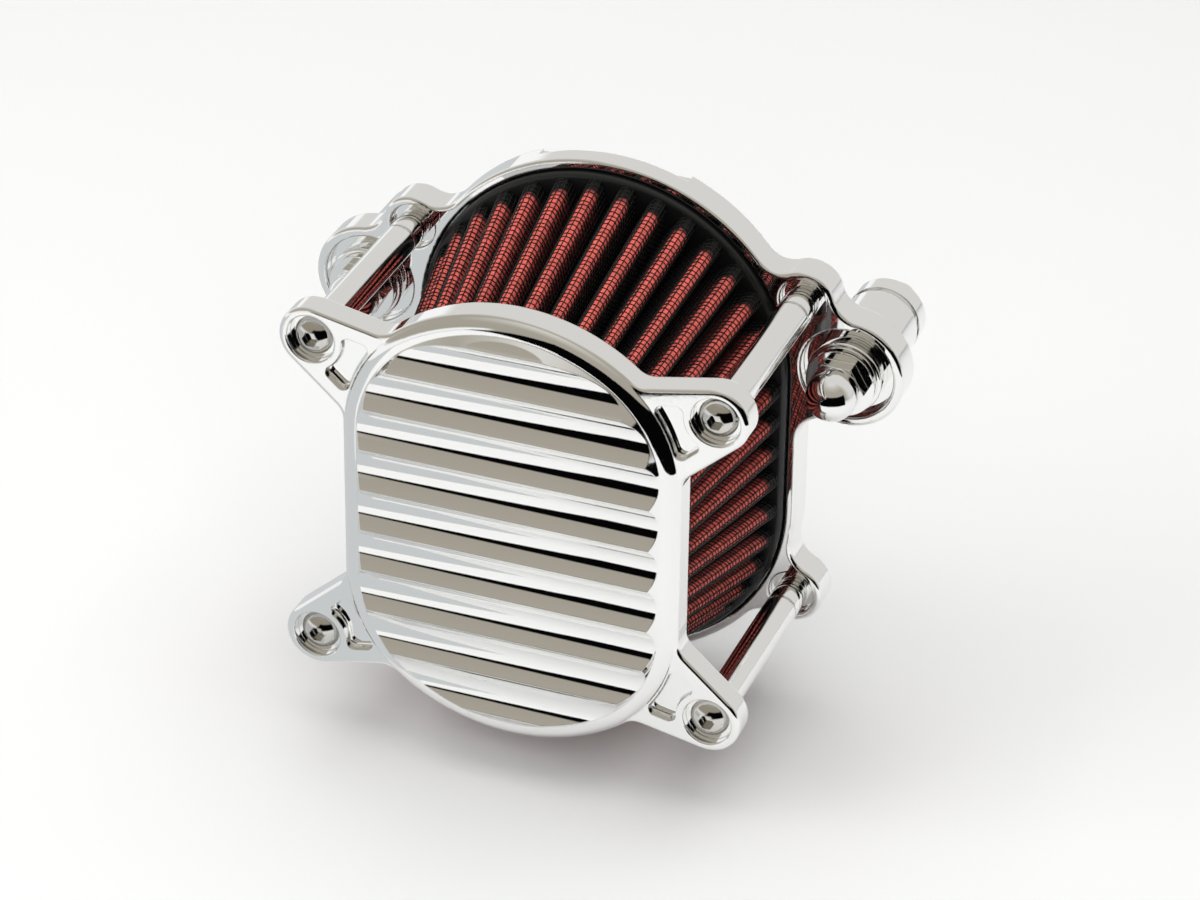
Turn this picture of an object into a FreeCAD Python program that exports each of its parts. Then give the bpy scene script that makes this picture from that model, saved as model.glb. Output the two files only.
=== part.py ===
"""Open-element air cleaner for a V-twin motorcycle: a finned front cover on four posts, an oval tapered
pleated filter clamped behind it, and a billet back plate with two breather bolts and a throttle adapter.

Frame: millimetres, +Z up, the finned cover towards -Y, the engine towards +Y. The origin is the centre of
the intake bore, on the gasket face that meets the throttle body."""
import FreeCAD, Part
import math
import os
import re

import Sketcher

# Driving sizes, in millimetres unless the name says degrees.
SIZES = {
    # four posts and the screws that hold them
    "post_span_z": 94.6,
    "post_gap": 4.2,
    "post_length": 65.1,
    "post_diameter": 9.5,
    "post_groove_width": 0.9,
    "post_groove_depth": 0.6,
    "post_collar": 12.0,
    "screw_diameter": 6.35,
    "screw_reach": 12.0,
    "head_diameter": 11.3,
    "head_height": 3.5,
    "head_crown": 6.6,
    "socket_width": 4.0,
    "socket_depth": 2.4,
    "thread_clearance": 0.05,
    "hole_clearance": 0.2,
    # finned front cover
    "cover_side_inset": 9.0,
    "cover_rise": 18.7,
    "crown_excess": 6.0,
    "corner_offset": 8.0,
    "rim_rise": 2.0,
    "rim_round": 4.5,
    "rim_width": 5.0,
    "lug_thick": 7.4,
    "lug_radius": 9.4,
    "lug_round": 1.3,
    "lug_blend": 6.0,
    "waist_inset": 30.0,
    "waist_rise": 3.6,
    "hip_inset": 20.0,
    "hip_drop": 30.3,
    "fin_pitch": 12.75,
    "fin_depth": 2.8,
    "fin_step": 0.4,
    "fin_land": 0.12,
    "fin_slope_degrees": 34.0,
    "counterbore_diameter": 13.9,
    "counterbore_depth": 2.9,
    "pocket_depth": 2.6,
    "counterbore_round": 0.5,
    "pocket_margin": 4.8,
    "pocket_wall": 2.0,
    "pocket_rim_gap": 0.4,
    "pocket_round": 2.2,
    "pocket_floor_round": 0.9,
    "boss_height": 3.0,
    "fit_gap": 0.3,
    # tapered oval filter element
    "front_radius": 44.0,
    "front_reach": 14.5,
    "rear_reach": 20.6,
    "opening_gap": 1.4,
    "pleat_depth": 13.0,
    "screen_thick": 0.5,
    "screen_gap": 0.05,
    "cap_lip": 1.4,
    "front_cap_thick": 6.0,
    "rear_cap_thick": 7.0,
    "cap_round": 1.5,
    # billet back plate
    "plate_thick": 9.5,
    "ring_lip": 3.0,
    "ring_round": 1.2,
    "mouth_round": 0.8,
    "recess_depth": 5.0,
    "seat_depth": 2.5,
    "seat_radius": 6.6,
    "plate_lug_radius": 9.0,
    "lug_neck_width": 12.6,
    "plate_blend": 8.0,
    "seat_head_depth": 3.8,
    "relief_depth": 3.5,
    "relief_half_width": 22.0,
    "relief_height": 5.0,
    # breather bolts, collars and spacers
    "ear_rise": 27.5,
    "ear_radius": 16.4,
    "ear_neck_width": 16.0,
    "ear_wall": 3.24,
    "ear_recess_radius": 13.4,
    "ear_recess_depth": 3.5,
    "bolt_diameter": 9.5,
    "bolt_neck_diameter": 9.0,
    "bolt_bore": 5.0,
    "bolt_reach": 9.5,
    "bolt_hole": 12.0,
    "cross_hole": 3.5,
    "gallery_diameter": 2.6,
    "collar_radius": 10.8,
    "collar_height": 6.0,
    "flange_radius": 9.9,
    "flange_thick": 3.0,
    "hex_width": 14.3,
    "hex_height": 4.0,
    "dome_radius": 7.1,
    "dome_neck": 3.3,
    "spacer_radius": 10.85,
    "spacer_length": 29.1,
    "spacer_groove_offset": 6.4,
    "spacer_groove_width": 2.2,
    "spacer_groove_depth": 1.6,
    "spacer_round": 0.8,
    "seal_ring_radius": 8.0,
    "seal_section": 2.4,
    "seal_side_gap": 0.3,
    # throttle adapter and gasket
    "bore_diameter": 50.0,
    "inlet_flare": 2.5,
    "spigot_wall": 3.5,
    "adapter_thick": 10.0,
    "adapter_margin": 7.0,
    "screw_inset": 12.0,
    "screw_neck_diameter": 5.6,
    "throttle_reach": 12.0,
    "adapter_seal_inset": 2.5,
    "adapter_seal_section": 1.8,
    "gasket_thick": 0.8,
}

# Places along Y and other values that follow from the driving sizes.
DERIVED = {
    "gasket_front": "-Sizes.gasket_thick",
    "plate_rear": "-Sizes.gasket_thick - Sizes.adapter_thick",
    "plate_front": "-Sizes.gasket_thick - Sizes.adapter_thick - Sizes.plate_thick",
    "recess_floor": "Derived.plate_front + Sizes.recess_depth",
    "post_rear": "Derived.plate_front + Sizes.seat_depth",
    "cover_rear": "Derived.post_rear - Sizes.post_length",
    "lug_face": "Derived.cover_rear - Sizes.lug_thick",
    "rim_face": "Derived.lug_face - Sizes.rim_rise",
    "throttle_radius": "Sizes.bore_diameter / 2 + Sizes.screw_inset",
    "spigot_radius": "Sizes.bore_diameter / 2 + Sizes.spigot_wall",
    "adapter_radius": "Derived.throttle_radius + Sizes.adapter_margin",
    "adapter_seal_radius": "Derived.spigot_radius + Sizes.adapter_seal_inset",
    "rear_cap_bore": "Derived.throttle_radius * cos(30) + Sizes.head_diameter / 2 + Sizes.opening_gap",
    "rear_radius": "Derived.rear_cap_bore + Sizes.cap_lip + Sizes.pleat_depth",
    "recess_radius": "Derived.rear_radius + Sizes.cap_lip + Sizes.fit_gap",
    "ring_radius": "Derived.recess_radius + Sizes.ring_lip",
    "post_z": "Sizes.post_span_z / 2",
    "post_x": "sqrt((Derived.rear_radius + Sizes.cap_lip + Sizes.post_gap + Sizes.post_diameter / 2) ^ 2"
              " - (Derived.post_z - Sizes.rear_reach) ^ 2)",
    "ear_x": "sqrt((Derived.recess_radius + Sizes.ear_wall + Sizes.ear_recess_radius) ^ 2"
             " - (Sizes.ear_rise - Sizes.rear_reach) ^ 2)",
    "cover_half_width": "Derived.post_x - Sizes.cover_side_inset",
    "cover_half_height": "Derived.post_z + Sizes.cover_rise",
    "crown_radius": "Derived.cover_half_width + Sizes.crown_excess",
    "corner_radius": "Derived.cover_half_width - Sizes.corner_offset",
    "waist_x": "Derived.post_x - Sizes.waist_inset",
    "waist_z": "Derived.post_z + Sizes.waist_rise",
    "hip_x": "Derived.post_x - Sizes.hip_inset",
    "hip_z": "Derived.post_z - Sizes.hip_drop",
    "front_cap_rear": "Derived.cover_rear + Sizes.front_cap_thick",
    "rear_cap_front": "Derived.recess_floor - Sizes.rear_cap_thick",
    "thread_radius": "Sizes.screw_diameter / 2 + Sizes.thread_clearance",
    "hole_radius": "Sizes.screw_diameter / 2 + Sizes.hole_clearance",
    "corner_z": "Derived.cover_half_height - Derived.crown_radius"
                " + sqrt((Sizes.crown_excess + Sizes.corner_offset) ^ 2 - Sizes.corner_offset ^ 2)",
    "scallop_radius": "((Sizes.fin_pitch / 2) ^ 2 + Sizes.fin_depth ^ 2) / (2 * Sizes.fin_depth)",
    "fin_top_inset": "Sizes.rim_width + (Sizes.fin_step + Sizes.fin_depth)"
                     " * tan(Sizes.fin_slope_degrees)",
    "ear_floor": "Derived.plate_front + Sizes.ear_recess_depth",
    "front_cap_bore": "Sizes.front_radius - Sizes.pleat_depth - Sizes.cap_lip",
    "flange_front": "Derived.plate_front + Sizes.ear_recess_depth - Sizes.collar_height - Sizes.flange_thick",
    "spacer_rear": "Derived.plate_rear + Sizes.spacer_length",
}

ALONG_Y = FreeCAD.Rotation(FreeCAD.Vector(1, 0, 0), -90)

doc = FreeCAD.newDocument("air_cleaner")


def make_sheet():
    """The spreadsheet of driving sizes, one named cell each."""
    sheet = doc.addObject("Spreadsheet::Sheet", "Sizes")
    for row, (name, value) in enumerate(SIZES.items(), start=1):
        sheet.set(f"A{row}", name)
        sheet.set(f"B{row}", str(value))
        sheet.setAlias(f"B{row}", name)
    doc.recompute()
    return sheet


def make_derived():
    """Values worked out from the sheet, held as properties that other objects name. Each is written out
    in driving sizes alone, so that none waits for another."""
    held = doc.addObject("App::VarSet", "Derived")
    in_full = {}
    for name, expression in DERIVED.items():
        in_full[name] = re.sub(r"Derived\.(\w+)", lambda found: f"({in_full[found.group(1)]})", expression)
        held.addProperty("App::PropertyFloat", name, "Places")
        held.setExpression(name, in_full[name])
    doc.recompute()
    return held


sizes = make_sheet()
places = make_derived()


def now(expression):
    """What an expression comes to at the sizes in force."""
    value = places.evalExpression(str(expression))
    return float(getattr(value, "Value", value))


def bind(item, **expressions):
    """Tie properties of an object to the sheet: a double underscore stands for a dot."""
    for prop, expression in expressions.items():
        item.setExpression(prop.replace("__", "."), expression)
    return item


def put(item, x="0", y="0", z="0"):
    """Tie an object's place to the sheet."""
    return bind(item, Placement__Base__x=x, Placement__Base__y=y, Placement__Base__z=z)


def cylinder(name, radius, length, x="0", y="0", z="0"):
    """A cylinder along +Y that starts at y."""
    item = doc.addObject("Part::Cylinder", name)
    item.Placement.Rotation = ALONG_Y
    bind(item, Radius=radius, Height=length)
    return put(item, x, y, z)


def cone(name, radius_near, radius_far, length, x="0", y="0", z="0"):
    """A cone along +Y: radius_near is at y, radius_far at its other end."""
    item = doc.addObject("Part::Cone", name)
    item.Placement.Rotation = ALONG_Y
    bind(item, Radius1=radius_near, Radius2=radius_far, Height=length)
    return put(item, x, y, z)


def ring(name, mean_radius, section_radius, x="0", y="0", z="0"):
    """A torus about +Y, such as an O-ring."""
    item = doc.addObject("Part::Torus", name)
    item.Placement.Rotation = ALONG_Y
    bind(item, Radius1=mean_radius, Radius2=section_radius)
    return put(item, x, y, z)


def hexagon(name, width, length, x="0", y="0", z="0"):
    """A hexagonal prism along +Y, width across its flats."""
    item = doc.addObject("Part::Prism", name)
    item.Polygon = 6
    item.Placement.Rotation = ALONG_Y
    bind(item, Circumradius=f"({width}) / 2 / cos(30)", Height=length)
    return put(item, x, y, z)


def block(name, dx, dy, dz, x, y, z):
    """A box from its lowest corner."""
    item = doc.addObject("Part::Box", name)
    bind(item, Length=dx, Width=dy, Height=dz)
    return put(item, x, y, z)


def fuse(name, *items):
    """The items joined into one."""
    item = doc.addObject("Part::MultiFuse", name)
    item.Shapes = list(items)
    item.Refine = True
    return item


def cut(name, base, *tools):
    """The base with the tools taken away."""
    item = doc.addObject("Part::Cut", name)
    item.Base = base
    item.Tool = tools[0] if len(tools) == 1 else fuse(name + "_tools", *tools)
    item.Refine = True
    return item


def common(name, first, second):
    """What two items share."""
    item = doc.addObject("Part::Common", name)
    item.Base = first
    item.Tool = second
    item.Refine = True
    return item


def mirror(name, item, normal):
    """A mirror image through the origin."""
    image = doc.addObject("Part::Mirroring", name)
    image.Source = item
    image.Base = (0, 0, 0)
    image.Normal = normal
    return image


def four_ways(name, item):
    """An item and its images left and right, above and below."""
    pair = fuse(name + "_pair", item, mirror(name + "_across", item, (1, 0, 0)))
    return fuse(name, pair, mirror(name + "_below", pair, (0, 0, 1)))


def rounded(name, item, radius, wanted):
    """Fillets on the edges of an item for which wanted(edge) is true."""
    doc.recompute()
    picked = [(i, radius, radius) for i, edge in enumerate(item.Shape.Edges, start=1) if wanted(edge)]
    if not picked:
        raise RuntimeError("no edge to round on " + name)
    fillet = doc.addObject("Part::Fillet", name)
    fillet.Base = item
    fillet.Edges = picked
    doc.recompute()
    return fillet


def runs_along_y(edge):
    """Whether an edge is straight and points along Y."""
    if not isinstance(edge.Curve, (Part.Line, Part.LineSegment)):
        return False
    return abs(abs(edge.tangentAt(edge.FirstParameter).y) - 1) < 1e-6


def at_y(edge, y):
    """Whether an edge lies in the plane at y."""
    return abs(edge.BoundBox.YMin - y) < 1e-4 and abs(edge.BoundBox.YMax - y) < 1e-4


def reach_from(edge, x, z):
    """How far the middle of an edge is from the line along Y through (x, z)."""
    mid = edge.CenterOfMass
    return math.hypot(mid.x - x, mid.z - z)


def new_body(name):
    """An empty PartDesign body."""
    return doc.addObject("PartDesign::Body", name)


def flat_sketch(body, name, y):
    """A sketch facing -Y at the height y: its first axis is X, its second Z, and a pad from it grows
    towards the front."""
    sketch = body.newObject("Sketcher::SketchObject", name)
    plane = [f for f in body.Origin.OriginFeatures if f.Role == "XZ_Plane"][0]
    sketch.AttachmentSupport = (plane, "")
    sketch.MapMode = "FlatFace"
    sketch.setExpression("AttachmentOffset.Base.z", f"-({y})")
    return sketch


def line(x0, z0, x1, z1):
    """A straight piece of outline."""
    return Part.LineSegment(FreeCAD.Vector(x0, z0, 0), FreeCAD.Vector(x1, z1, 0))


def arc(x, z, radius, start, end):
    """A round piece of outline, its ends in radians."""
    circle = Part.Circle(FreeCAD.Vector(x, z, 0), FreeCAD.Vector(0, 0, 1), radius)
    return Part.ArcOfCircle(circle, start, end)


def tie(sketch, kind, *where, expression):
    """A dimension of a sketch, tied to the sheet."""
    index = sketch.addConstraint(Sketcher.Constraint(kind, *where, now(expression)))
    name = f"{kind}_{index}"
    sketch.renameConstraint(index, name)
    sketch.setExpression("Constraints." + name, expression)


def stadium(body, name, y, radius, reach):
    """Two half circles joined by straight sides: reach is how far each centre is above or below X."""
    radius_now, reach_now = now(radius), now(reach)
    sketch = flat_sketch(body, name, y)
    top, bottom = arc(0, reach_now, radius_now, 0, math.pi), arc(0, -reach_now, radius_now, math.pi, 2 * math.pi)
    left = line(-radius_now, reach_now, -radius_now, -reach_now)
    right = line(radius_now, -reach_now, radius_now, reach_now)
    sketch.addGeometry([top, left, bottom, right], False)
    for first, second in ((0, 1), (1, 2), (2, 3), (3, 0)):
        ends = (2, 1)
        sketch.addConstraint(Sketcher.Constraint("Tangent", first, ends[0], second, ends[1]))
    sketch.addConstraint(Sketcher.Constraint("Vertical", 1))
    sketch.addConstraint(Sketcher.Constraint("PointOnObject", 0, 3, -2))
    sketch.addConstraint(Sketcher.Constraint("Symmetric", 0, 3, 2, 3, -1, 1))
    tie(sketch, "Radius", 0, expression=radius)
    tie(sketch, "DistanceY", -1, 1, 0, 3, expression=reach)
    return sketch


def stadium_prism(name, y, length, radius, reach):
    """A stadium grown from y towards the front."""
    body = new_body(name)
    sketch = stadium(body, name + "_outline", y, radius, reach)
    pad = body.newObject("PartDesign::Pad", name + "_pad")
    pad.Profile = sketch
    pad.setExpression("Length", length)
    return body


def oval(body, name, y, inset):
    """The cover's outline moved in by inset: upright sides, a crown arc at the top and bottom, a corner
    arc between."""
    names = ("cover_half_width", "cover_half_height", "crown_radius", "corner_radius")
    half_width, half_height, crown, corner = [now(f"Derived.{name} - ({inset})") for name in names]
    crown_z = half_height - crown
    corner_x = half_width - corner
    corner_z = crown_z + math.sqrt((crown - corner) ** 2 - corner_x ** 2)
    lean = math.atan2(corner_z - crown_z, corner_x)
    sketch = flat_sketch(body, name, y)
    sketch.addGeometry([
        arc(0, crown_z, crown, lean, math.pi - lean),
        arc(-corner_x, corner_z, corner, math.pi - lean, math.pi),
        line(-half_width, corner_z, -half_width, -corner_z),
        arc(-corner_x, -corner_z, corner, math.pi, math.pi + lean),
        arc(0, -crown_z, crown, math.pi + lean, 2 * math.pi - lean),
        arc(corner_x, -corner_z, corner, 2 * math.pi - lean, 2 * math.pi),
        line(half_width, -corner_z, half_width, corner_z),
        arc(corner_x, corner_z, corner, 0, lean),
    ], False)
    for first in range(8):
        sketch.addConstraint(Sketcher.Constraint("Tangent", first, 2, (first + 1) % 8, 1))
    sketch.addConstraint(Sketcher.Constraint("PointOnObject", 0, 3, -2))
    sketch.addConstraint(Sketcher.Constraint("Symmetric", 0, 3, 4, 3, -1, 1))
    sketch.addConstraint(Sketcher.Constraint("Equal", 0, 4))
    for corner_arc in (3, 5, 7):
        sketch.addConstraint(Sketcher.Constraint("Equal", 1, corner_arc))
    sketch.addConstraint(Sketcher.Constraint("Vertical", 2))
    sketch.addConstraint(Sketcher.Constraint("Vertical", 6))
    tie(sketch, "Radius", 0, expression=f"Derived.crown_radius - ({inset})")
    tie(sketch, "Radius", 1, expression=f"Derived.corner_radius - ({inset})")
    tie(sketch, "DistanceY", -1, 1, 0, 3, expression="Derived.cover_half_height - Derived.crown_radius")
    tie(sketch, "DistanceX", -1, 1, 6, 1, expression=f"Derived.cover_half_width - ({inset})")
    tie(sketch, "DistanceX", 2, 1, -1, 1, expression=f"Derived.cover_half_width - ({inset})")
    return sketch


def sharp_upright(shape):
    """A test for edges along Y where the two side faces meet at an angle."""
    def wanted(edge):
        if not runs_along_y(edge):
            return False
        sides = shape.ancestorsOfType(edge, Part.Face)
        if len(sides) != 2:
            return False
        mid = edge.valueAt((edge.FirstParameter + edge.LastParameter) / 2)
        normals = [face.normalAt(*face.Surface.parameter(mid)) for face in sides]
        return abs(normals[0].dot(normals[1])) < math.cos(math.radians(5))
    return wanted


def blended(name, item, radius):
    """An upright outline with its inner corners rounded."""
    doc.recompute()
    return rounded(name, item, radius, sharp_upright(item.Shape))


def edges_round(name, item, radius, y):
    """Every edge that lies in the plane at y, rounded."""
    return rounded(name, item, radius, lambda edge: at_y(edge, y))


def stadium_ring(name, y, length, radius, bore, reach):
    """A flat stadium ring that ends at y and grows towards the front."""
    outer = stadium_prism(name + "_outer", y, length, radius, reach)
    inner = stadium_prism(name + "_bore", f"({y}) + 1", f"({length}) + 2", bore, reach)
    return cut(name, outer, inner)


def tapered_tube(name, outside, inside):
    """A wall that follows the filter's taper: outside and inside say how far its two faces are within
    the pleat tips' outline."""
    stations = (
        ("Derived.rear_cap_front", "Derived.rear_radius", "Sizes.rear_reach"),
        ("Derived.front_cap_rear", "Sizes.front_radius", "Sizes.front_reach"),
    )
    body = new_body(name)
    for feature, inset in (("AdditiveLoft", outside), ("SubtractiveLoft", inside)):
        drawn = []
        for step, (y, radius, reach) in enumerate(stations):
            drawn.append(stadium(body, f"{name}_{feature}_{step}", y, f"{radius} - ({inset})", reach))
        loft = body.newObject("PartDesign::" + feature, f"{name}_{feature}")
        loft.Profile = drawn[0]
        loft.Sections = drawn[1:]
        loft.Ruled = True
        doc.recompute()
    return body


def arm_sketch(body, name, y):
    """One lug arm: a round end on the post's axis and two straight sides that run into the oval."""
    x, z, radius = now("Derived.post_x"), now("Derived.post_z"), now("Sizes.lug_radius")
    waist = (now("Derived.waist_x"), now("Derived.waist_z"))
    hip = (now("Derived.hip_x"), now("Derived.hip_z"))

    def touch(point, side):
        """Where a line from a point touches the lug's round end."""
        dx, dz = point[0] - x, point[1] - z
        turn = side * math.acos(radius / math.hypot(dx, dz))
        lean = math.atan2(dz, dx) + turn
        return lean, (x + radius * math.cos(lean), z + radius * math.sin(lean))

    upper_lean, upper = touch(waist, -1)
    lower_lean, lower = touch(hip, 1)
    sketch = flat_sketch(body, name, y)
    sketch.addGeometry([
        arc(x, z, radius, lower_lean, upper_lean),
        line(*upper, *waist),
        line(*waist, *hip),
        line(*hip, *lower),
    ], False)
    sketch.addConstraint(Sketcher.Constraint("Tangent", 0, 2, 1, 1))
    sketch.addConstraint(Sketcher.Constraint("Tangent", 3, 2, 0, 1))
    sketch.addConstraint(Sketcher.Constraint("Coincident", 1, 2, 2, 1))
    sketch.addConstraint(Sketcher.Constraint("Coincident", 2, 2, 3, 1))
    tie(sketch, "Radius", 0, expression="Sizes.lug_radius")
    for where, across, up in ((0, "Derived.post_x", "Derived.post_z"), (1, "Derived.waist_x", "Derived.waist_z"),
                              (2, "Derived.hip_x", "Derived.hip_z")):
        point = 3 if where == 0 else 2
        tie(sketch, "DistanceX", -1, 1, where, point, expression=across)
        tie(sketch, "DistanceY", -1, 1, where, point, expression=up)
    return sketch


def cover_oval():
    """The cover's oval body with its large rounded rim."""
    body = new_body("cover_oval")
    sketch = oval(body, "cover_oval_outline", "Derived.cover_rear", "0")
    pad = body.newObject("PartDesign::Pad", "cover_oval_pad")
    pad.Profile = sketch
    pad.setExpression("Length", "Sizes.lug_thick + Sizes.rim_rise")
    doc.recompute()
    face = now("Derived.rim_face")
    names = [f"Edge{i}" for i, edge in enumerate(pad.Shape.Edges, start=1) if at_y(edge, face)]
    fillet = body.newObject("PartDesign::Fillet", "cover_rim")
    fillet.Base = (pad, names)
    fillet.setExpression("Radius", "Sizes.rim_round")
    body.Tip = fillet
    return body


def cover_lugs():
    """The thinner layer of the cover: the oval with its four lug arms, blended and edge-rounded."""
    base = new_body("lug_base")
    pad = base.newObject("PartDesign::Pad", "lug_base_pad")
    pad.Profile = oval(base, "lug_base_outline", "Derived.cover_rear", "0")
    pad.setExpression("Length", "Sizes.lug_thick")
    arm = new_body("lug_arm")
    pad = arm.newObject("PartDesign::Pad", "lug_arm_pad")
    pad.Profile = arm_sketch(arm, "lug_arm_outline", "Derived.cover_rear")
    pad.setExpression("Length", "Sizes.lug_thick")
    outline = fuse("lug_layer", base, four_ways("lug_arms", arm))
    soft = blended("lug_layer_blended", outline, now("Sizes.lug_blend"))
    return edges_round("lug_layer_rounded", soft, now("Sizes.lug_round"), now("Derived.lug_face"))


def fin_field():
    """The raised field of level fins: scallops cut side by side, ended by a sloping wall all round."""
    body = new_body("fin_island")
    base = oval(body, "fin_island_base", "Derived.rim_face + Sizes.rim_rise / 2", "Sizes.rim_width")
    foot = oval(body, "fin_island_foot", "Derived.rim_face", "Sizes.rim_width")
    top = oval(body, "fin_island_top", "Derived.rim_face - Sizes.fin_step - Sizes.fin_depth",
               "Derived.fin_top_inset")
    pad = body.newObject("PartDesign::Pad", "fin_island_pad")
    pad.Profile = base
    pad.setExpression("Length", "Sizes.rim_rise / 2")
    loft = body.newObject("PartDesign::AdditiveLoft", "fin_island_loft")
    loft.Profile = foot
    loft.Sections = [top]
    loft.Ruled = True
    body.Tip = loft
    doc.recompute()
    count = math.ceil(now("Derived.cover_half_height") / now("Sizes.fin_pitch"))
    scallops = []
    for step in range(-count, count + 1):
        scallop = doc.addObject("Part::Cylinder", "scallop")
        scallop.Placement.Rotation = FreeCAD.Rotation(FreeCAD.Vector(0, 1, 0), 90)
        bind(scallop, Radius="Derived.scallop_radius", Height="2 * Derived.cover_half_width")
        put(scallop, "-Derived.cover_half_width", "Derived.rim_face - Sizes.fin_step - Derived.scallop_radius",
            f"{step} * Sizes.fin_pitch")
        scallops.append(scallop)
    land = block("fin_land_plane", "2 * Derived.cover_half_width", "Sizes.fin_depth", "2 * Derived.cover_half_height",
                 "-Derived.cover_half_width",
                 "Derived.rim_face - Sizes.fin_step - 2 * Sizes.fin_depth + Sizes.fin_land",
                 "-Derived.cover_half_height")
    return cut("fins", body, fuse("scallops", *scallops), land)


def pocket_tool():
    """The milled pocket between a screw and the rim: the arm's outline moved in, kept off the
    counterbore and the rim."""
    body = new_body("pocket_arm")
    outline = arm_sketch(body, "pocket_arm_outline", "Derived.lug_face + Sizes.pocket_depth")
    inset = doc.addObject("Part::Offset2D", "pocket_outline")
    inset.Source = outline
    inset.setExpression("Value", "-Sizes.pocket_margin")
    solid = doc.addObject("Part::Extrusion", "pocket_block")
    solid.Base = inset
    solid.DirMode = "Custom"
    solid.Dir = FreeCAD.Vector(0, -1, 0)
    solid.Solid = True
    solid.setExpression("LengthFwd", "Sizes.pocket_depth + 3 * Sizes.rim_rise")
    keep_screw = cylinder("pocket_screw_wall", "Sizes.counterbore_diameter / 2 + Sizes.pocket_wall",
                          "4 * Sizes.lug_thick", "Derived.post_x", "Derived.lug_face - 2 * Sizes.lug_thick",
                          "Derived.post_z")
    keep_rim = cylinder("pocket_rim_wall", "Derived.corner_radius - Sizes.pocket_rim_gap", "4 * Sizes.lug_thick",
                        "Sizes.corner_offset", "Derived.lug_face - 2 * Sizes.lug_thick", "Derived.corner_z")
    shaped = cut("pocket_shape", solid, keep_screw, keep_rim)
    soft = blended("pocket_blended", shaped, now("Sizes.pocket_round"))
    floor = now("Derived.lug_face") + now("Sizes.pocket_depth")
    return edges_round("pocket_tool", soft, now("Sizes.pocket_floor_round"), floor)


def front_cover():
    """The chromed front cover, with the boss behind it that centres the filter."""
    boss = stadium_prism("cover_boss", "Derived.cover_rear + Sizes.boss_height",
                         "Sizes.boss_height + Sizes.lug_thick / 2", "Derived.front_cap_bore - Sizes.fit_gap",
                         "Sizes.front_reach")
    solid = fuse("cover_solid", cover_oval(), cover_lugs(), fin_field(), boss)
    hole = cylinder("cover_hole", "Derived.hole_radius", "3 * Sizes.lug_thick", "Derived.post_x",
                    "Derived.lug_face - Sizes.lug_thick", "Derived.post_z")
    bore = cylinder("cover_counterbore", "Sizes.counterbore_diameter / 2",
                    "Sizes.counterbore_depth + Sizes.lug_thick", "Derived.post_x",
                    "Derived.lug_face - Sizes.lug_thick", "Derived.post_z")
    tools = four_ways("cover_tools", fuse("cover_tool", hole, bore, pocket_tool()))
    sharp = cut("cover_sharp", solid, tools)

    def counterbore_mouth(edge):
        """Whether an edge is where a counterbore meets the lug face."""
        return (at_y(edge, now("Derived.lug_face")) and isinstance(edge.Curve, Part.Circle)
                and abs(edge.Curve.Radius - now("Sizes.counterbore_diameter / 2")) < 1e-3)

    return rounded("front_cover", sharp, now("Sizes.counterbore_round"), counterbore_mouth)


def turned(name, profile, x, y, z):
    """A solid of revolution about the line along Y through (x, y, z): the profile is a list of pairs, radius
    and distance along the line, whose first and last points lie on the line."""
    body = new_body(name)
    sketch = body.newObject("Sketcher::SketchObject", name + "_profile")
    plane = [f for f in body.Origin.OriginFeatures if f.Role == "XY_Plane"][0]
    sketch.AttachmentSupport = (plane, "")
    sketch.MapMode = "FlatFace"
    spots = [(now(radius), now(along)) for radius, along in profile]
    count = len(profile)
    sketch.addGeometry([line(*spots[i], *spots[(i + 1) % count]) for i in range(count)], False)
    for i in range(count):
        sketch.addConstraint(Sketcher.Constraint("Coincident", i, 2, (i + 1) % count, 1))
    for i, (radius, along) in enumerate(profile):
        if radius == "0":
            sketch.addConstraint(Sketcher.Constraint("PointOnObject", i, 1, -2))
        else:
            tie(sketch, "DistanceX", -1, 1, i, 1, expression=radius)
        if along == "0":
            sketch.addConstraint(Sketcher.Constraint("PointOnObject", i, 1, -1))
        elif now(along) > 0:
            tie(sketch, "DistanceY", -1, 1, i, 1, expression=along)
        else:
            tie(sketch, "DistanceY", i, 1, -1, 1, expression=f"-({along})")
    turn = body.newObject("PartDesign::Revolution", name + "_turn")
    turn.Profile = sketch
    turn.ReferenceAxis = (sketch, ["V_Axis"])
    turn.Angle = 360
    return put(body, x, y, z)


def button_screw(name, y, neck, length, x, z):
    """A button-head socket screw whose head sits on a face at y and points to the front: a relieved neck
    under the head, then the threaded end."""
    radius, height, thread = "Sizes.head_diameter / 2", "Sizes.head_height", "Sizes.screw_diameter / 2"
    relief = "Sizes.screw_neck_diameter / 2"
    blank = turned(name + "_blank", [("0", f"-{height}"), (radius, f"-{height}"), (radius, "0"), (relief, "0"),
                                     (relief, neck), (thread, neck), (thread, length), ("0", length)], x, y, z)
    crown = doc.addObject("Part::Sphere", name + "_crown")
    bind(crown, Radius="Sizes.head_crown")
    put(crown, x, f"({y}) - {height} + Sizes.head_crown", z)
    reach = cylinder(name + "_reach", f"2 * ({radius})", length, x, y, z)
    top = fuse(name + "_keep", crown, reach)
    return cut(name, common(name + "_domed", blank, top),
               hexagon(name + "_socket", "Sizes.socket_width", "2 * Sizes.socket_depth", x,
                       f"({y}) - {height} - Sizes.socket_depth", z))


def cover_screws():
    """Four button-head screws that hold the cover to the posts."""
    seat = "Derived.lug_face + Sizes.counterbore_depth"
    neck = "Sizes.lug_thick - Sizes.counterbore_depth"
    return four_ways("cover_screws", button_screw("cover_screw", seat, neck, f"{neck} + Sizes.screw_reach",
                                                  "Derived.post_x", "Derived.post_z"))


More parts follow.
